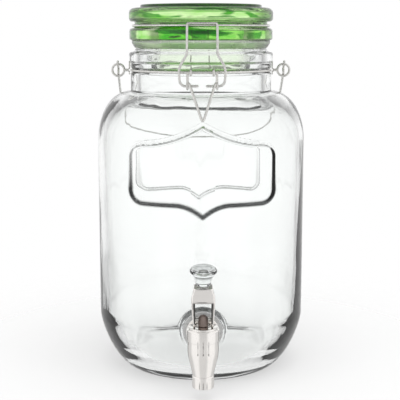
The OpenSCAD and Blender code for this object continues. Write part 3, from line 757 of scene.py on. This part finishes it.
class JAR_OT_lid(bpy.types.Operator):
    """Builds the green glass lid: two beads, the groove, the raised disc and the hollow plug"""

    bl_idname = "jar.lid"
    bl_label = "Lid"

    def execute(self, context):
        s = sizes("lid_sizes")
        soft, glass, neck, seat_r = 2.6, 5, 50.9, 45.6
        crown, inner, dish = s.disc_z - glass - 2, s.plug_r - glass, s.top_z - 1.2
        shelf = [(s.plug_r + 1.3, 245), (s.plug_r + 1.5, 245.9), (seat_r, 245.9), (seat_r, s.flange_z - 1)]
        edge = [(s.disc_r - 4, s.top_z), (s.disc_r - 5, s.top_z), (s.disc_r - 7, dish), (s.disc_r - 10, dish)]
        profile = np.vstack([
            [(0, crown), (12, crown)],
            arc((inner - 8, crown - 8), 8, 90, 0, 12),
            between((inner, crown - 8), (inner, s.plug_z + 2), 6)[1:-1],
            arc((inner + 1.6, s.plug_z + 1.6), 1.6, 180, 270, 5),
            arc((s.plug_r - 1.6, s.plug_z + 1.6), 1.6, -90, 0, 5),
            between((s.plug_r, s.plug_z + 2), (s.plug_r + 1.2, 244), 5)[1:-1],
            rounded(shelf, [0.5, 1.0]),
            [(seat_r, s.flange_z), (s.lower_r - 1.6, s.flange_z)],
            arc((s.lower_r - 1.4, s.flange_z + 1.4), 1.4, -80, 0, 7),
            between((s.lower_r, s.flange_z + 1.4), (s.lower_r, s.groove_z - soft), 3)[1:-1],
            arc((s.lower_r - soft, s.groove_z - soft), soft, 0, 88, 10),
            arc((neck + 0.7, s.groove_z + 0.7), 0.7, -90, -180, 4),
            arc((neck + 0.7, s.upper_z - 0.7), 0.7, 180, 90, 4),
            arc((s.upper_r - soft, s.upper_z + soft), soft, -88, 0, 10),
            arc((s.upper_r - soft - 1.4, s.disc_z - soft - 1.4), soft + 1.4, 0, 88, 14),
            [(s.disc_r + 0.25, s.disc_z), (s.disc_r, s.disc_z + 0.3)],
            arc((s.disc_r - 0.8, s.top_z - 0.8), 0.8, 0, 90, 6),
            rounded(edge, 1.2, 5),
            [(24, dish), (0, dish)],
        ])
        piece("lid_glass", revolve(profile, 256), "green_glass", "lid_body", "lid")
        return {"FINISHED"}


class JAR_OT_gasket(bpy.types.Operator):
    """Builds the gasket between the lid and the rim, with a soft bead outside"""

    bl_idname = "jar.gasket"
    bl_label = "Gasket"

    def execute(self, context):
        low, top, inner, outer, seam = 246.6, 252.4, 45.6, 53.1, (48, 252.4)
        corners = [
            seam, (inner, top), (inner, low + 0.4), (46.4, low), (50.8, low), (51.7, low + 1.4),
            (outer, top - 2.2), (outer, top), seam,
        ]
        profile = rounded(corners, [0.2, 0.3, 0.5, 0.5, 1.0, 0.8, 0.8])[:-1]
        piece("gasket_ring", revolve(profile, 192, wrap=True), "gasket", "lid_body", "lid_gasket")
        return {"FINISHED"}


# ---------------------------------------------------------------- wires


CLAMP_PIVOT_X = 8.2
COIL_IN = 0.2
COIL_Z = 220


class JAR_OT_hoop(bpy.types.Operator):
    """Builds the wire hoop in the lid's groove with its two legs down to the hinge"""

    bl_idname = "jar.hoop"
    bl_label = "Lid hoop"

    def execute(self, context):
        w, s = sizes("wire_sizes"), sizes("jar_sizes")
        leg_x, hoop_r, hoop_z = 10, 52.05, 263.25
        eye_r = w.bar_r + 0.06 + w.clamp_r
        gap = math.asin(leg_x / hoop_r)
        a = np.linspace(math.pi / 2 - gap, math.pi / 2 + gap - TAU, 150)
        around = np.c_[hoop_r * np.cos(a), hoop_r * np.sin(a), np.full(len(a), hoop_z)]
        foot = s.band_z + eye_r - 0.2
        right = rounded([(leg_x, w.hinge_y, foot), (leg_x, w.hinge_y, hoop_z), around[2]], 4, 10)
        left = rounded([around[-3], (-leg_x, w.hinge_y, hoop_z), (-leg_x, w.hinge_y, foot)], 4, 10)
        path = np.vstack([right[:-1], around[2:-2], left[1:]])
        eyes = [torus((x, w.hinge_y, s.band_z), (1, 0, 0), eye_r, w.clamp_r) for x in (leg_x, -leg_x)]
        piece("hoop_wire", join(tube(path, w.clamp_r, 18), *eyes), "steel", "lid_body", "lid_hoop")
        return {"FINISHED"}


class JAR_OT_band(bpy.types.Operator):
    """Builds the neck band with the hinge bar behind it and the two pivot eyes before it"""

    bl_idname = "jar.band"
    bl_label = "Neck band"

    def execute(self, context):
        w, z = sizes("wire_sizes"), sizes("jar_sizes").band_z
        band_r, hinge_half, elbow = 53.5, 14, 3
        ring_y = math.sqrt(band_r**2 - hinge_half**2) - 0.3
        half = [(hinge_half, ring_y, z), (hinge_half, w.hinge_y, z)]
        bar = rounded(np.vstack([half, mirror(half)]), elbow, 8)
        eye_r = 2 * w.clamp_r + 0.06
        parts = [torus((0, 0, z), (0, 0, 1), band_r, w.band_r, 220, 18), tube(bar, w.bar_r, 18, (0, 0, 1))]
        for x in (CLAMP_PIVOT_X, -CLAMP_PIVOT_X):
            neck = between((x, -band_r, z), (x, -w.pivot_y + eye_r, z), 2)
            parts.append(torus((x, -w.pivot_y, z), (1, 0, 0), eye_r, w.clamp_r - 0.03))
            parts.append(tube(neck, w.clamp_r - 0.15, 16))
        piece("band_wire", join(*parts), "steel", "jar_body", "neck_band")
        return {"FINISHED"}


class JAR_OT_clamp(bpy.types.Operator):
    """Builds the clamp: the lever with its coils and bent handle, and the loop that crosses the lid"""

    bl_idname = "jar.clamp"
    bl_label = "Wire clamp"

    def execute(self, context):
        w, s = sizes("wire_sizes"), sizes("jar_sizes")
        coil_y = w.pivot_y - COIL_IN
        self.lever(w, coil_y, s.band_z)
        self.loop(w, coil_y)
        return {"FINISHED"}

    def lever(self, w, coil_y, pivot_z):
        """Two coils joined by the bar through the pivot eyes and by the pointed grip."""
        half, eye_r, tip = 10.6, 2.1, (0, -(coil_y + 22) - 1.4, COIL_Z - 23 - 1.8)
        bar = [(-half, -coil_y - 0.2, COIL_Z + eye_r - 0.2), (-half, -w.pivot_y, pivot_z)]
        arm = [(half - 0.5, -coil_y - 0.6, COIL_Z + eye_r), (half - 1.4, -coil_y - eye_r - 0.9, COIL_Z + 1.6)]
        across = rounded(np.vstack([bar, mirror(bar)]), 1.7, 8)
        grip = rounded(np.vstack([arm, [tip], mirror(arm)]), [2.1, 5, 2.1], 9)
        wires = [tube(path, w.clamp_r, 16, (0, 1, 0)) for path in (across, grip)]
        coils = [torus((x, -coil_y, COIL_Z), (1, 0, 0), eye_r, w.clamp_r) for x in (half, -half)]
        piece("lever_wire", join(*wires, *coils), "steel", "lever_body", "clamp_lever")

    def loop(self, w, coil_y):
        """A loop that starts in the coils, widens, narrows again and lies in the lid's groove."""
        top, wide, bar_y, bar_z, side_y = 10.2, 16.8, 53.8, 264.6, 55.35
        right = [
            (3.5, -coil_y, COIL_Z), (wide - 2.9, -coil_y, COIL_Z), (wide - 0.6, -coil_y, COIL_Z + 2.6),
            (wide, -coil_y, COIL_Z + 10), (wide - 0.9, -coil_y + 0.3, COIL_Z + 14.6),
            (top + 0.8, -side_y, COIL_Z + 22.5), (top + 0.6, -side_y, bar_z - 2.4),
            (top + 0.6, -bar_y, bar_z),
        ]
        path = rounded(np.vstack([right, mirror(right)]), 1.9, 7)
        piece("loop_wire", tube(path, w.clamp_r - 0.01, 16, (0, 1, 0)), "steel", "loop_body", "locking_loop")


class JAR_OT_rings(bpy.types.Operator):
    """Builds the two handle rings, each a loop of wire whose ends are twisted together and cut"""

    bl_idname = "jar.rings"
    bl_label = "Handle rings"

    def execute(self, context):
        w, z = sizes("wire_sizes"), sizes("jar_sizes").band_z
        ring_r, strand, neck, turns = 4.6, w.handle_r * 0.62, 55.2, 1.25
        start, end, lay = neck + 1.2, w.ring_x - ring_r, strand * 0.98
        t = np.linspace(0, 1, 25)
        a = math.pi / 2 + TAU * turns * t
        parts = [torus((w.ring_x, 0, z), (0, 1, 0), ring_r, w.handle_r, 60)]
        for up, drop in ((1, 6.5), (-1, 3)):
            twist = np.c_[start + (end - start) * t, up * lay * np.cos(a), z + up * lay * np.sin(a)]
            tail = rounded([(neck, 0, z + up * drop), (neck, 0, z + up * strand * 2), twist[0]], 0.7, 5)
            parts.append(tube(np.vstack([tail[:-1], twist]), strand, 12, (0, 1, 0)))
        right = join(*parts)
        piece("ring_right", right, "steel", "jar_body", "right_ring")
        piece("ring_left", placed(right, matrix=FLIP_X), "steel", "jar_body", "left_ring")
        return {"FINISHED"}


class JAR_OT_handle(bpy.types.Operator):
    """Builds the carrying handle: one wire over the back of the jar with a cranked tail in each ring"""

    bl_idname = "jar.handle"
    bl_label = "Carrying handle"

    def execute(self, context):
        w, s = sizes("wire_sizes"), sizes("jar_sizes")
        drop, arm, tail, crank, gap = math.radians(33), 50, 9, 2.1, 2.2
        out = np.array([0, math.cos(drop), -math.sin(drop)])
        over = np.array([0, math.sin(drop), math.cos(drop)])
        reach = (s.body_r + gap + w.handle_r + crank * math.sin(drop)) / math.cos(drop)
        pivot = np.array([w.ring_x, 0, s.band_z])
        above, below = pivot + over * crank, pivot - over * crank
        right = rounded([above - out * tail, above, below, below + out * arm], 0.7, 6)
        a = np.radians(np.linspace(4, 176, 61))[:, None]
        low = np.array([0, 0, s.band_z]) - over * crank
        arch = low + np.cos(a) * [w.ring_x, 0, 0] + (arm + (reach - arm) * np.sin(a)) * out
        path = np.vstack([right, arch, mirror(right)])
        piece("handle_wire", tube(path, w.handle_r, 16), "steel", "handle_body", "carry_handle")
        return {"FINISHED"}


# ---------------------------------------------------------------- tap


WASHER_T = 2.6
SHANK_HOLE_R = 7.96
STEM_LIFT = 4
LEVER_TURN = math.radians(75)


def through_wall(surface, t):
    """The surface, made along Z, laid along the tap hole's axis and pointing to the front."""
    return placed(surface, (0, 0, t.hole_z), TO_FRONT)


def thread(radius, start, end, pitch, depth, columns=72):
    """A threaded rod along Z: radius less a triangle wave of the height over the pitch minus the turn."""
    rows = np.linspace(start, end, int((end - start) / pitch * 9) + 1)
    a = np.linspace(0, TAU, columns, endpoint=False)
    phase = (rows[:, None] / pitch - a[None, :] / TAU) % 1
    cut = depth * abs(2 * phase - 1) ** 1.3
    fade = np.clip((end - rows) / pitch, 0, 1)[:, None] * np.clip((rows - start) / pitch, 0.25, 1)[:, None]
    profile = np.vstack([[(0, start)], np.c_[np.full(len(rows), radius), rows], [(0, end)]])
    offset = np.vstack([np.zeros((1, columns)), -cut * fade - (1 - fade) * 0.2, np.zeros((1, columns))])
    return revolve(profile, a, offset)


def ring_plate(outer, low, high, edge):
    """A flat ring for the shank, about Z, with its outer edges rounded by edge."""
    return revolve(rounded(block(SHANK_HOLE_R, outer, low, high), edge), wrap=True)


def bar_section(z, left, right, back, front, corner):
    """One level section of a bar: a rectangle in x and y with round corners, running anticlockwise."""
    r = min(corner, 0.49 * (right - left), 0.49 * (front - back))
    x0, x1, y0, y1 = left + r, right - r, back + r, front - r
    corners = [(x1, y1, 0), (x0, y1, 90), (x0, y0, 180), (x1, y0, 270)]
    points = np.vstack([arc((x, y), r, a, a + 90, 5) for x, y, a in corners])
    return np.c_[points, np.full(len(points), z)]


class JAR_OT_tap(bpy.types.Operator):
    """Builds the tap's body, shank, bonnet, seals, washers and nut"""

    bl_idname = "jar.tap"
    bl_label = "Tap body"

    def execute(self, context):
        t, s = sizes("tap_sizes"), sizes("jar_sizes")
        at = (0, -t.barrel_y, 0)
        boss_y, inner_y = s.body_r + BOSS_OUT, s.body_r - s.wall - 2.2
        self.body(t, at, boss_y + WASHER_T, inner_y)
        self.bonnet(at)
        self.washers(t, boss_y, inner_y)
        self.nut(t, inner_y - 9)
        return {"FINISHED"}

    def body(self, t, at, flange_y, inner_y):
        """The barrel with its band, cone and nozzle, the stub behind it, the flange and the shank."""
        n, b, w, top = t.nozzle_r, t.barrel_r, t.band_r, 52.2
        mouth_z, mouth_r, stub_r, flange_r = 8.8, 6.3, 6.6, 12
        outside = rounded(
            [(mouth_r, mouth_z), (n, mouth_z), (n, 17), (n - 0.55, 17.6), (n - 0.25, 18.2), (b, 33.8),
             (b, 43.0), (w, 43.4), (w, 51.2), (w - 1, top), (0, top)],
            [0.35, 0.2, 0.2, 0.12, 3.0, 0.12, 0.12, 0.35, 0.3], 6,
        )
        inside = [(0, 23.2), (4.8, 23.2), (4.8, 17.2), (mouth_r, 15.7), (mouth_r, 9.2)]
        barrel = placed(revolve(np.vstack([inside, outside]), 160), at)
        stub = revolve(block(0, stub_r, 78, t.barrel_y - 4), 72)
        collar = rounded(
            [(0, flange_y), (flange_r, flange_y), (flange_r, flange_y + 2.2), (7.4, flange_y + 2.5),
             (stub_r, flange_y + 3.4), (stub_r, flange_y + 4), (0, flange_y + 4)],
            [0.4, 0.7, 0.8, 0.5, 0.1], 5,
        )
        shank = thread(7.9, inner_y - 11.5, flange_y, 1.5, 0.75)
        front = [through_wall(part, t) for part in (stub, revolve(collar, 110), shank)]
        piece("tap_shell", join(barrel, *front), "chrome", "jar_body", "tap_body")

    def bonnet(self, at):
        """The cap on the barrel and the ring round the stem under it."""
        hole_r, plug_r, cap_r, seat, top = 2.26, 8.15, 10.4, 52.2, 53.4
        corners = [(hole_r, 49.5), (plug_r, 50.6), (plug_r, seat), (cap_r, seat), (cap_r, top), (hole_r, top)]
        cap = np.vstack([rounded(corners, [0.1, 0.1, 0.05, 0.5], 5)[:-1], [(2.75, top), (hole_r, 52.9)]])
        piece("bonnet_cap", placed(revolve(cap, 120, wrap=True), at), "chrome", "jar_body", "tap_bonnet")
        seal = placed(torus((0, 0, 51.1), (0, 0, 1), 2.76, 0.48, 40, 12), at)
        piece("stem_seal", seal, "black_rubber", "jar_body", "bonnet_seal")

    def washers(self, t, boss_y, inner_y):
        """The washer before the glass and the one behind it."""
        outer = ring_plate(14.5, boss_y, boss_y + WASHER_T, 0.6)
        inner = ring_plate(12, inner_y - 2, inner_y, 0.5)
        piece("washer_outer", through_wall(outer, t), "washer", "jar_body", "outer_washer")
        piece("washer_inner", through_wall(inner, t), "washer", "jar_body", "inner_washer")

    def nut(self, t, back_y):
        """A hexagon whose corners are cut by a circle, with chamfered faces: a stack of such sections."""
        half, corner_r, thick = 12, 13.4, 7
        a = np.linspace(0, TAU, 96, endpoint=False) + math.radians(30)
        hexagon = half / np.cos((a + math.pi / 6) % (math.pi / 3) - math.pi / 6)
        side = np.minimum(hexagon, corner_r)[:, None]
        face = [(SHANK_HOLE_R, 0.6), (8.6, 0), (half - 0.4, 0), (side, 1.1)]
        rows = face + [(r, thick - h) for r, h in face[::-1]]
        circle = np.c_[np.cos(a), np.sin(a)]
        nut = loft([np.c_[circle * r, np.full(len(a), back_y + h)] for r, h in rows], wrap=True)
        piece("shank_nut", through_wall(nut, t), "nut", "jar_body", "back_nut")


class JAR_OT_valve(bpy.types.Operator):
    """Builds the valve's stem, plug and spring"""

    bl_idname = "jar.valve"
    bl_label = "Valve"

    def execute(self, context):
        t = sizes("tap_sizes")
        at, seat, top, rod_r, head_r, flange_r, plug_r = (0, -t.barrel_y, 0), 23.6, t.pin_z, 2.2, 3.6, 6, 7.4
        flange = [
            (rod_r, seat + 3), (rod_r, seat + 8.4), (flange_r, seat + 8.4), (flange_r, seat + 9.8),
            (rod_r, seat + 9.8), (rod_r, 53.0),
        ]
        stem = np.vstack([
            [(0, seat + 2), (rod_r, seat + 2)],
            rounded(flange, [0.05, 0.2, 0.2, 0.3], 3),
            rounded([(rod_r, 53.7), (head_r, 53.7), (head_r, top)], 0.4)[:-1],
            arc((0, top), head_r, 0, 90, 14)[:-1],
            [(0, top + head_r)],
        ])
        piece("stem_post", placed(revolve(stem, 64), at), "stem", "stem_body", "valve_stem")
        corners = [
            (0, seat - 0.6), (head_r, seat - 0.6), (plug_r, seat + 3.4), (plug_r, seat + 4.2),
            (5.4, seat + 6), (4.4, seat + 8.35), (0, seat + 8.35),
        ]
        plug = placed(revolve(rounded(corners, 0.3), 64), at)
        piece("seat_plug", plug, "black_rubber", "stem_body", "valve_plug")
        self.spring(t)
        return {"FINISHED"}

    def spring(self, t):
        """A helix between the stem's flange and the bonnet, its end turns closing to half the pitch."""
        low, high, radius, wire_r, turns = 33.9, 50.1, 4.3, 0.45, 5
        u = np.linspace(0, 1, 40 * turns + 1)
        height = u - 0.05 * np.sin(TAU * u)
        a = TAU * turns * u
        path = np.c_[radius * np.cos(a), radius * np.sin(a) - t.barrel_y, low + (high - low) * height]
        obj = piece("spring_coil", tube(path, wire_r, 12), "steel", "jar_body", "valve_spring")
        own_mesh(obj)


class JAR_OT_lever(bpy.types.Operator):
    """Builds the tap's forked lever, its pin and the clear knob on top"""

    bl_idname = "jar.lever"
    bl_label = "Tap lever"

    def execute(self, context):
        t = sizes("tap_sizes")
        at, pin_r, pin_half = (0, -t.barrel_y, t.pin_z), 1.25, 7.3
        self.fork(t, at)
        rod = rounded(block(0, pin_r, -pin_half, pin_half), 0.3)
        piece("pin_rod", placed(revolve(rod, 40), at, TO_SIDE), "steel", "tap_lever_body", "lever_pin")
        self.knob(t)
        return {"FINISHED"}

    def fork(self, t, at):
        """A plate on two prongs, each a stack of round-cornered sections whose four sides follow curves
        of the height. The prongs' feet are cams: the involute that lifts the stem as the lever turns."""
        window, half_fork, top, cam_low = 12.6, 5.7, 25.2, 4.75
        rise = STEM_LIFT / LEVER_TURN
        a = np.linspace(0, LEVER_TURN, 16)
        h = cam_low + rise * a
        front_z = np.r_[-h * np.cos(a) + rise * np.sin(a), 4.4, 8, 14, 20, 24, 27]
        front_y = np.r_[h * np.sin(a) + rise * np.cos(a), 6.2, 5.4, 5.6, 6.6, 8.2, 8.9]
        side_z, side_x = [-5, 3, 10, 15, 18, 21, 24, 27], [7.1, 7.6, 8.25, 8.5, 8.2, 7.4, 6.9, 6.7]
        back_z, back_y = [-4.75, -3.9, -2.5, 2, 8, 16, 26.2], [-3.6, -4.4, -4.6, -4.6, -3, -1.6, -0.6]

        def sections(levels, left, insets, corner):
            """The sections at those levels, each side moved in by its inset; left is None for a full one."""
            rows = []
            for z, inset in zip(levels, insets):
                x = np.interp(z, side_z, side_x) - inset
                y0, y1 = np.interp(z, back_z, back_y) + inset, np.interp(z, front_z, front_y) - inset
                rows.append(bar_section(z, -x if left is None else left + inset, x, y0, y1, corner))
            return np.array(rows)

        foot_in = 0.35 * np.array([1.0, 0.62, 0.3, 0.1])
        foot = -cam_low + np.array([0, 0.04, 0.14, 0.3])
        low = np.r_[foot, np.linspace(-cam_low + 0.5, window + 0.6, 32)]
        prong = loft(sections(low, half_fork, np.r_[foot_in, np.zeros(32)], 0.55))
        sill, brow = window + np.array([0, 0.05, 0.15, 0.3]), top - np.array([0.9, 0.5, 0.22, 0.06, 0])
        high = np.r_[sill, np.linspace(window + 0.5, top - 1.3, 20), brow]
        crown = sections(high, None, np.r_[foot_in, np.zeros(20), 0.08, 0.25, 0.5, 0.85, 1.4], 1.6)
        lean = np.clip((crown[..., 2] - 20) / 5.2, 0, 1)
        crown[..., 2] += lean * (3.8 - crown[..., 1]) * 0.25
        right = placed(prong, matrix=FLIP_Y)
        both = join(right, placed(right, matrix=FLIP_X), placed(loft(crown), matrix=FLIP_Y))
        obj = piece("lever_fork", placed(both, at), "chrome", "tap_lever_body", "tap_lever")

        def painted_window_reflection(x, y, z):
            """Painted dark reflection in a narrow band round the window between the prongs."""
            beside = np.maximum(abs(x) - half_fork, z - t.pin_z - window)
            dark = np.clip(1.6 - abs(beside - 0.35) / 0.55, 0, 1)
            return dark * (z > t.pin_z - 1) * (z < t.pin_z + 15)

        # painted dark reflection round the window, kept in the attribute "line"
        mark_painted_dark(obj.data, painted_window_reflection)

    def knob(self, t):
        """A foot, a flare that opens as a parabola, a rounded rim and a dished top, leaning forward."""
        r, foot, height, hole_r, foot_r = t.knob_r, 6.8, 13, 0.5, 2.45
        u = np.linspace(0, 1, 12)
        flare = np.c_[r - 4 + 3.2 * u**2, foot + 0.2 + (height - 4) * u]
        neck = [(hole_r, 0.4), (foot_r, 0.4), (foot_r, foot), (r - 4.2, foot), flare[1]]
        top = height + foot
        dish = [(r - 1.6, top - 2.0), (r - 3.5, top - 2.6), (r - 6, top - 3.6), (hole_r, top - 3.6)]
        profile = np.vstack([
            [(0, 0.4)], rounded(neck, [0.3, 0.2, 0.35]), flare[2:], arc((r - 1, top - 2.8), 1, -15, 100),
            rounded(dish, [0.8, 1.2], 5)[1:], [(0, top - 3.6)],
        ])
        seat = np.array([0, -t.barrel_y - 7.6, t.pin_z + 20])
        knob = placed(placed(revolve(profile, 128), (0, 3.4, 0)), seat, turn_x(15))
        piece("knob_clear", knob, "plastic", "tap_lever_body", "lever_knob")


# ---------------------------------------------------------------- stage


def studio_world():
    """White to the camera, even to matt surfaces, and a studio to glass and to mirrors.

    Both studios are functions of the direction. Glass has a white window behind it with dark flats at
    both sides and a dark ceiling, so that its edges and ridges draw dark lines; light that went through
    both walls finds the flats pale. Mirrors have a pale room with a greyer middle in front, a duller
    floor behind, and the dark spot of a camera with the legs of its stand.
    """
    world = bpy.data.worlds.new("studio")
    bpy.context.scene.world = world
    world.use_nodes = True
    world.node_tree.nodes.clear()
    g = Graph(world.node_tree)
    direction = g.add("TexCoord")["Generated"]
    x, y, z = g.add("SeparateXYZ", {0: direction})
    paths = g.add("LightPath")
    side = g.math("ABSOLUTE", x)
    behind = g.step(y, -0.1, 0.3, 0.0, 1.0)

    deep = g.step(paths["Transmission Depth"], 2.5, 3.5, 0.0, 1.0)
    flats = g.level(deep, g.step(z, -0.42, -0.16, 0.07, 0.42), g.step(z, -0.8, -0.6, 0.25, 0.93))
    window = g.level(g.step(side, 0.42, 0.8, 0.0, 1.0), 1.08, flats)
    around = g.level(g.step(side, 0.66, 0.9, 0.0, 1.0), 0.98, flats)
    window_top, around_top = g.step(z, 0.16, 0.5, 1.0, 0.22), g.step(z, 0.4, 0.7, 1.0, 0.12)
    through = g.level(behind, g.product(around, around_top), g.product(window, window_top))

    lens = g.add("VectorMath", {0: direction, 1: (0, -0.96, 0.28)}, operation="DISTANCE")["Value"]
    facing = g.product(g.step(side, 0.32, 0.6, 0.64, 1.0), g.step(lens, 0.07, 0.12, 0.02, 1.0))
    outer_legs = g.step(g.math("ABSOLUTE", g.math("SUBTRACT", side, 0.6)), 0.03, 0.07, 0.05, 1.0)
    legs = g.product(g.step(side, 0.05, 0.1, 0.05, 1.0), outer_legs)
    beside_stand = g.math("MAXIMUM", g.step(z, -0.37, -0.31, 0.0, 1.0), g.step(z, -0.46, -0.42, 1.0, 0.0))
    in_front = g.product(facing, g.level(beside_stand, legs, 1.0))
    mirror_room = g.level(behind, in_front, g.step(z, -0.25, -0.1, 0.62, 0.95))

    def background(strength):
        return g.add("Background", {"Color": (1, 1, 1), "Strength": strength})[0]

    shown = background(0.74)
    rays = ("Is Glossy Ray", mirror_room), ("Is Transmission Ray", through), ("Is Camera Ray", 1.0)
    for ray, strength in rays:
        shown = g.add("MixShader", {"Fac": paths[ray], 1: shown, 2: background(strength)})[0]
    g.surface("OutputWorld", shown)


def floor_material():
    """White paper that fades out at its edge, so that it runs into the backdrop without a line; glass and
    mirrors see more of the backdrop through it."""
    mat = bpy.data.materials.new("paper")
    mat.use_nodes = True
    mat.node_tree.nodes.clear()
    g = Graph(mat.node_tree)
    share = g.step(g.distance(g.add("TexCoord")["Object"]), 0.09, 0.33, 0.5, 1.0)
    paths = g.add("LightPath")
    for ray, much in (("Is Transmission Ray", 0.6), ("Is Glossy Ray", 0.75)):
        share = g.math("MAXIMUM", g.product(paths[ray], much), share)
    paper = g.add("BsdfDiffuse", {"Color": (0.97, 0.97, 0.97)})[0]
    clear = g.add("BsdfTransparent")[0]
    g.surface("OutputMaterial", g.add("MixShader", {"Fac": share, 1: paper, 2: clear})[0])
    return mat


def softbox(name, place, aim, width, height, power):
    """An area lamp at a place, turned to face the aim, not seen in glass or mirrors."""
    lamp = bpy.data.lights.new(name, "AREA")
    lamp.shape, lamp.size, lamp.size_y, lamp.energy = "RECTANGLE", width, height, power
    obj = show(name, lamp)
    obj.location = place
    obj.rotation_euler = (Vector(aim) - Vector(place)).to_track_quat("-Z", "Y").to_euler()
    obj.visible_glossy = obj.visible_transmission = False
    return obj


class JAR_OT_stage(bpy.types.Operator):
    """Builds the paper floor, the softboxes, the studio world and the camera"""

    bl_idname = "jar.stage"
    bl_label = "Stage"

    def execute(self, context):
        reach, sides, below_foot = 0.45, 64, 0.0002
        a = np.linspace(0, TAU, sides, endpoint=False)
        disc = np.c_[reach * np.cos(a), reach * np.sin(a), np.zeros(sides)]
        mesh = bpy.data.meshes.new("paper")
        mesh.from_pydata(disc.tolist(), [], [list(range(sides))])
        mesh.materials.append(floor_material())
        paper = show("paper", mesh)
        paper.location = (0, 0, -below_foot)
        middle = (0, 0, 0.13)
        lamps = [
            softbox("lamp_top", (0.1, -0.25, 1.15), middle, 0.9, 0.7, 4.2),
            softbox("lamp_left", (-0.95, -0.8, 0.5), middle, 0.35, 0.9, 2.2),
            softbox("lamp_right", (0.95, -0.75, 0.45), middle, 0.3, 0.8, 1.7),
        ]
        camera = show("camera", bpy.data.cameras.new("camera"))
        camera.data.lens, camera.data.sensor_width = 90, 36
        camera.location = (-0.0127, -0.779, 0.258)
        camera.rotation_euler = (math.radians(80.5), 0, math.radians(-0.88))
        context.scene.camera = camera
        studio_world()
        context.scene.view_settings.view_transform = "Standard"
        return {"FINISHED"}


# ---------------------------------------------------------------- add-on


OPERATORS = [
    JAR_OT_glass, JAR_OT_lid, JAR_OT_gasket, JAR_OT_hoop, JAR_OT_band, JAR_OT_clamp, JAR_OT_rings,
    JAR_OT_handle, JAR_OT_tap, JAR_OT_valve, JAR_OT_lever, JAR_OT_stage,
]


class JAR_PT_panel(bpy.types.Panel):
    """Lists the operators and the settings in the sidebar"""

    bl_idname = "JAR_PT_panel"
    bl_label = "Clip-top dispenser jar"
    bl_space_type = "VIEW_3D"
    bl_region_type = "UI"
    bl_category = "Jar"

    def draw(self, context):
        for operator in OPERATORS:
            self.layout.operator(operator.bl_idname)
        for name, group in GROUPS.items():
            box = self.layout.box()
            box.label(text=name.replace("_", " ").capitalize())
            for setting in group.__annotations__:
                box.prop(getattr(context.scene, name), setting)


CLASSES = [*GROUPS.values(), *OPERATORS, JAR_PT_panel]


def register():
    for cls in CLASSES:
        bpy.utils.register_class(cls)
    for name, group in GROUPS.items():
        setattr(bpy.types.Scene, name, bpy.props.PointerProperty(type=group))


def unregister():
    for name in GROUPS:
        delattr(bpy.types.Scene, name)
    for cls in reversed(CLASSES):
        bpy.utils.unregister_class(cls)


def main():
    """Registers the add-on, then builds every piece and the stage."""
    register()
    for operator in OPERATORS:
        group, name = operator.bl_idname.split(".")
        getattr(getattr(bpy.ops, group), name)()


if __name__ == "__main__":
    main()
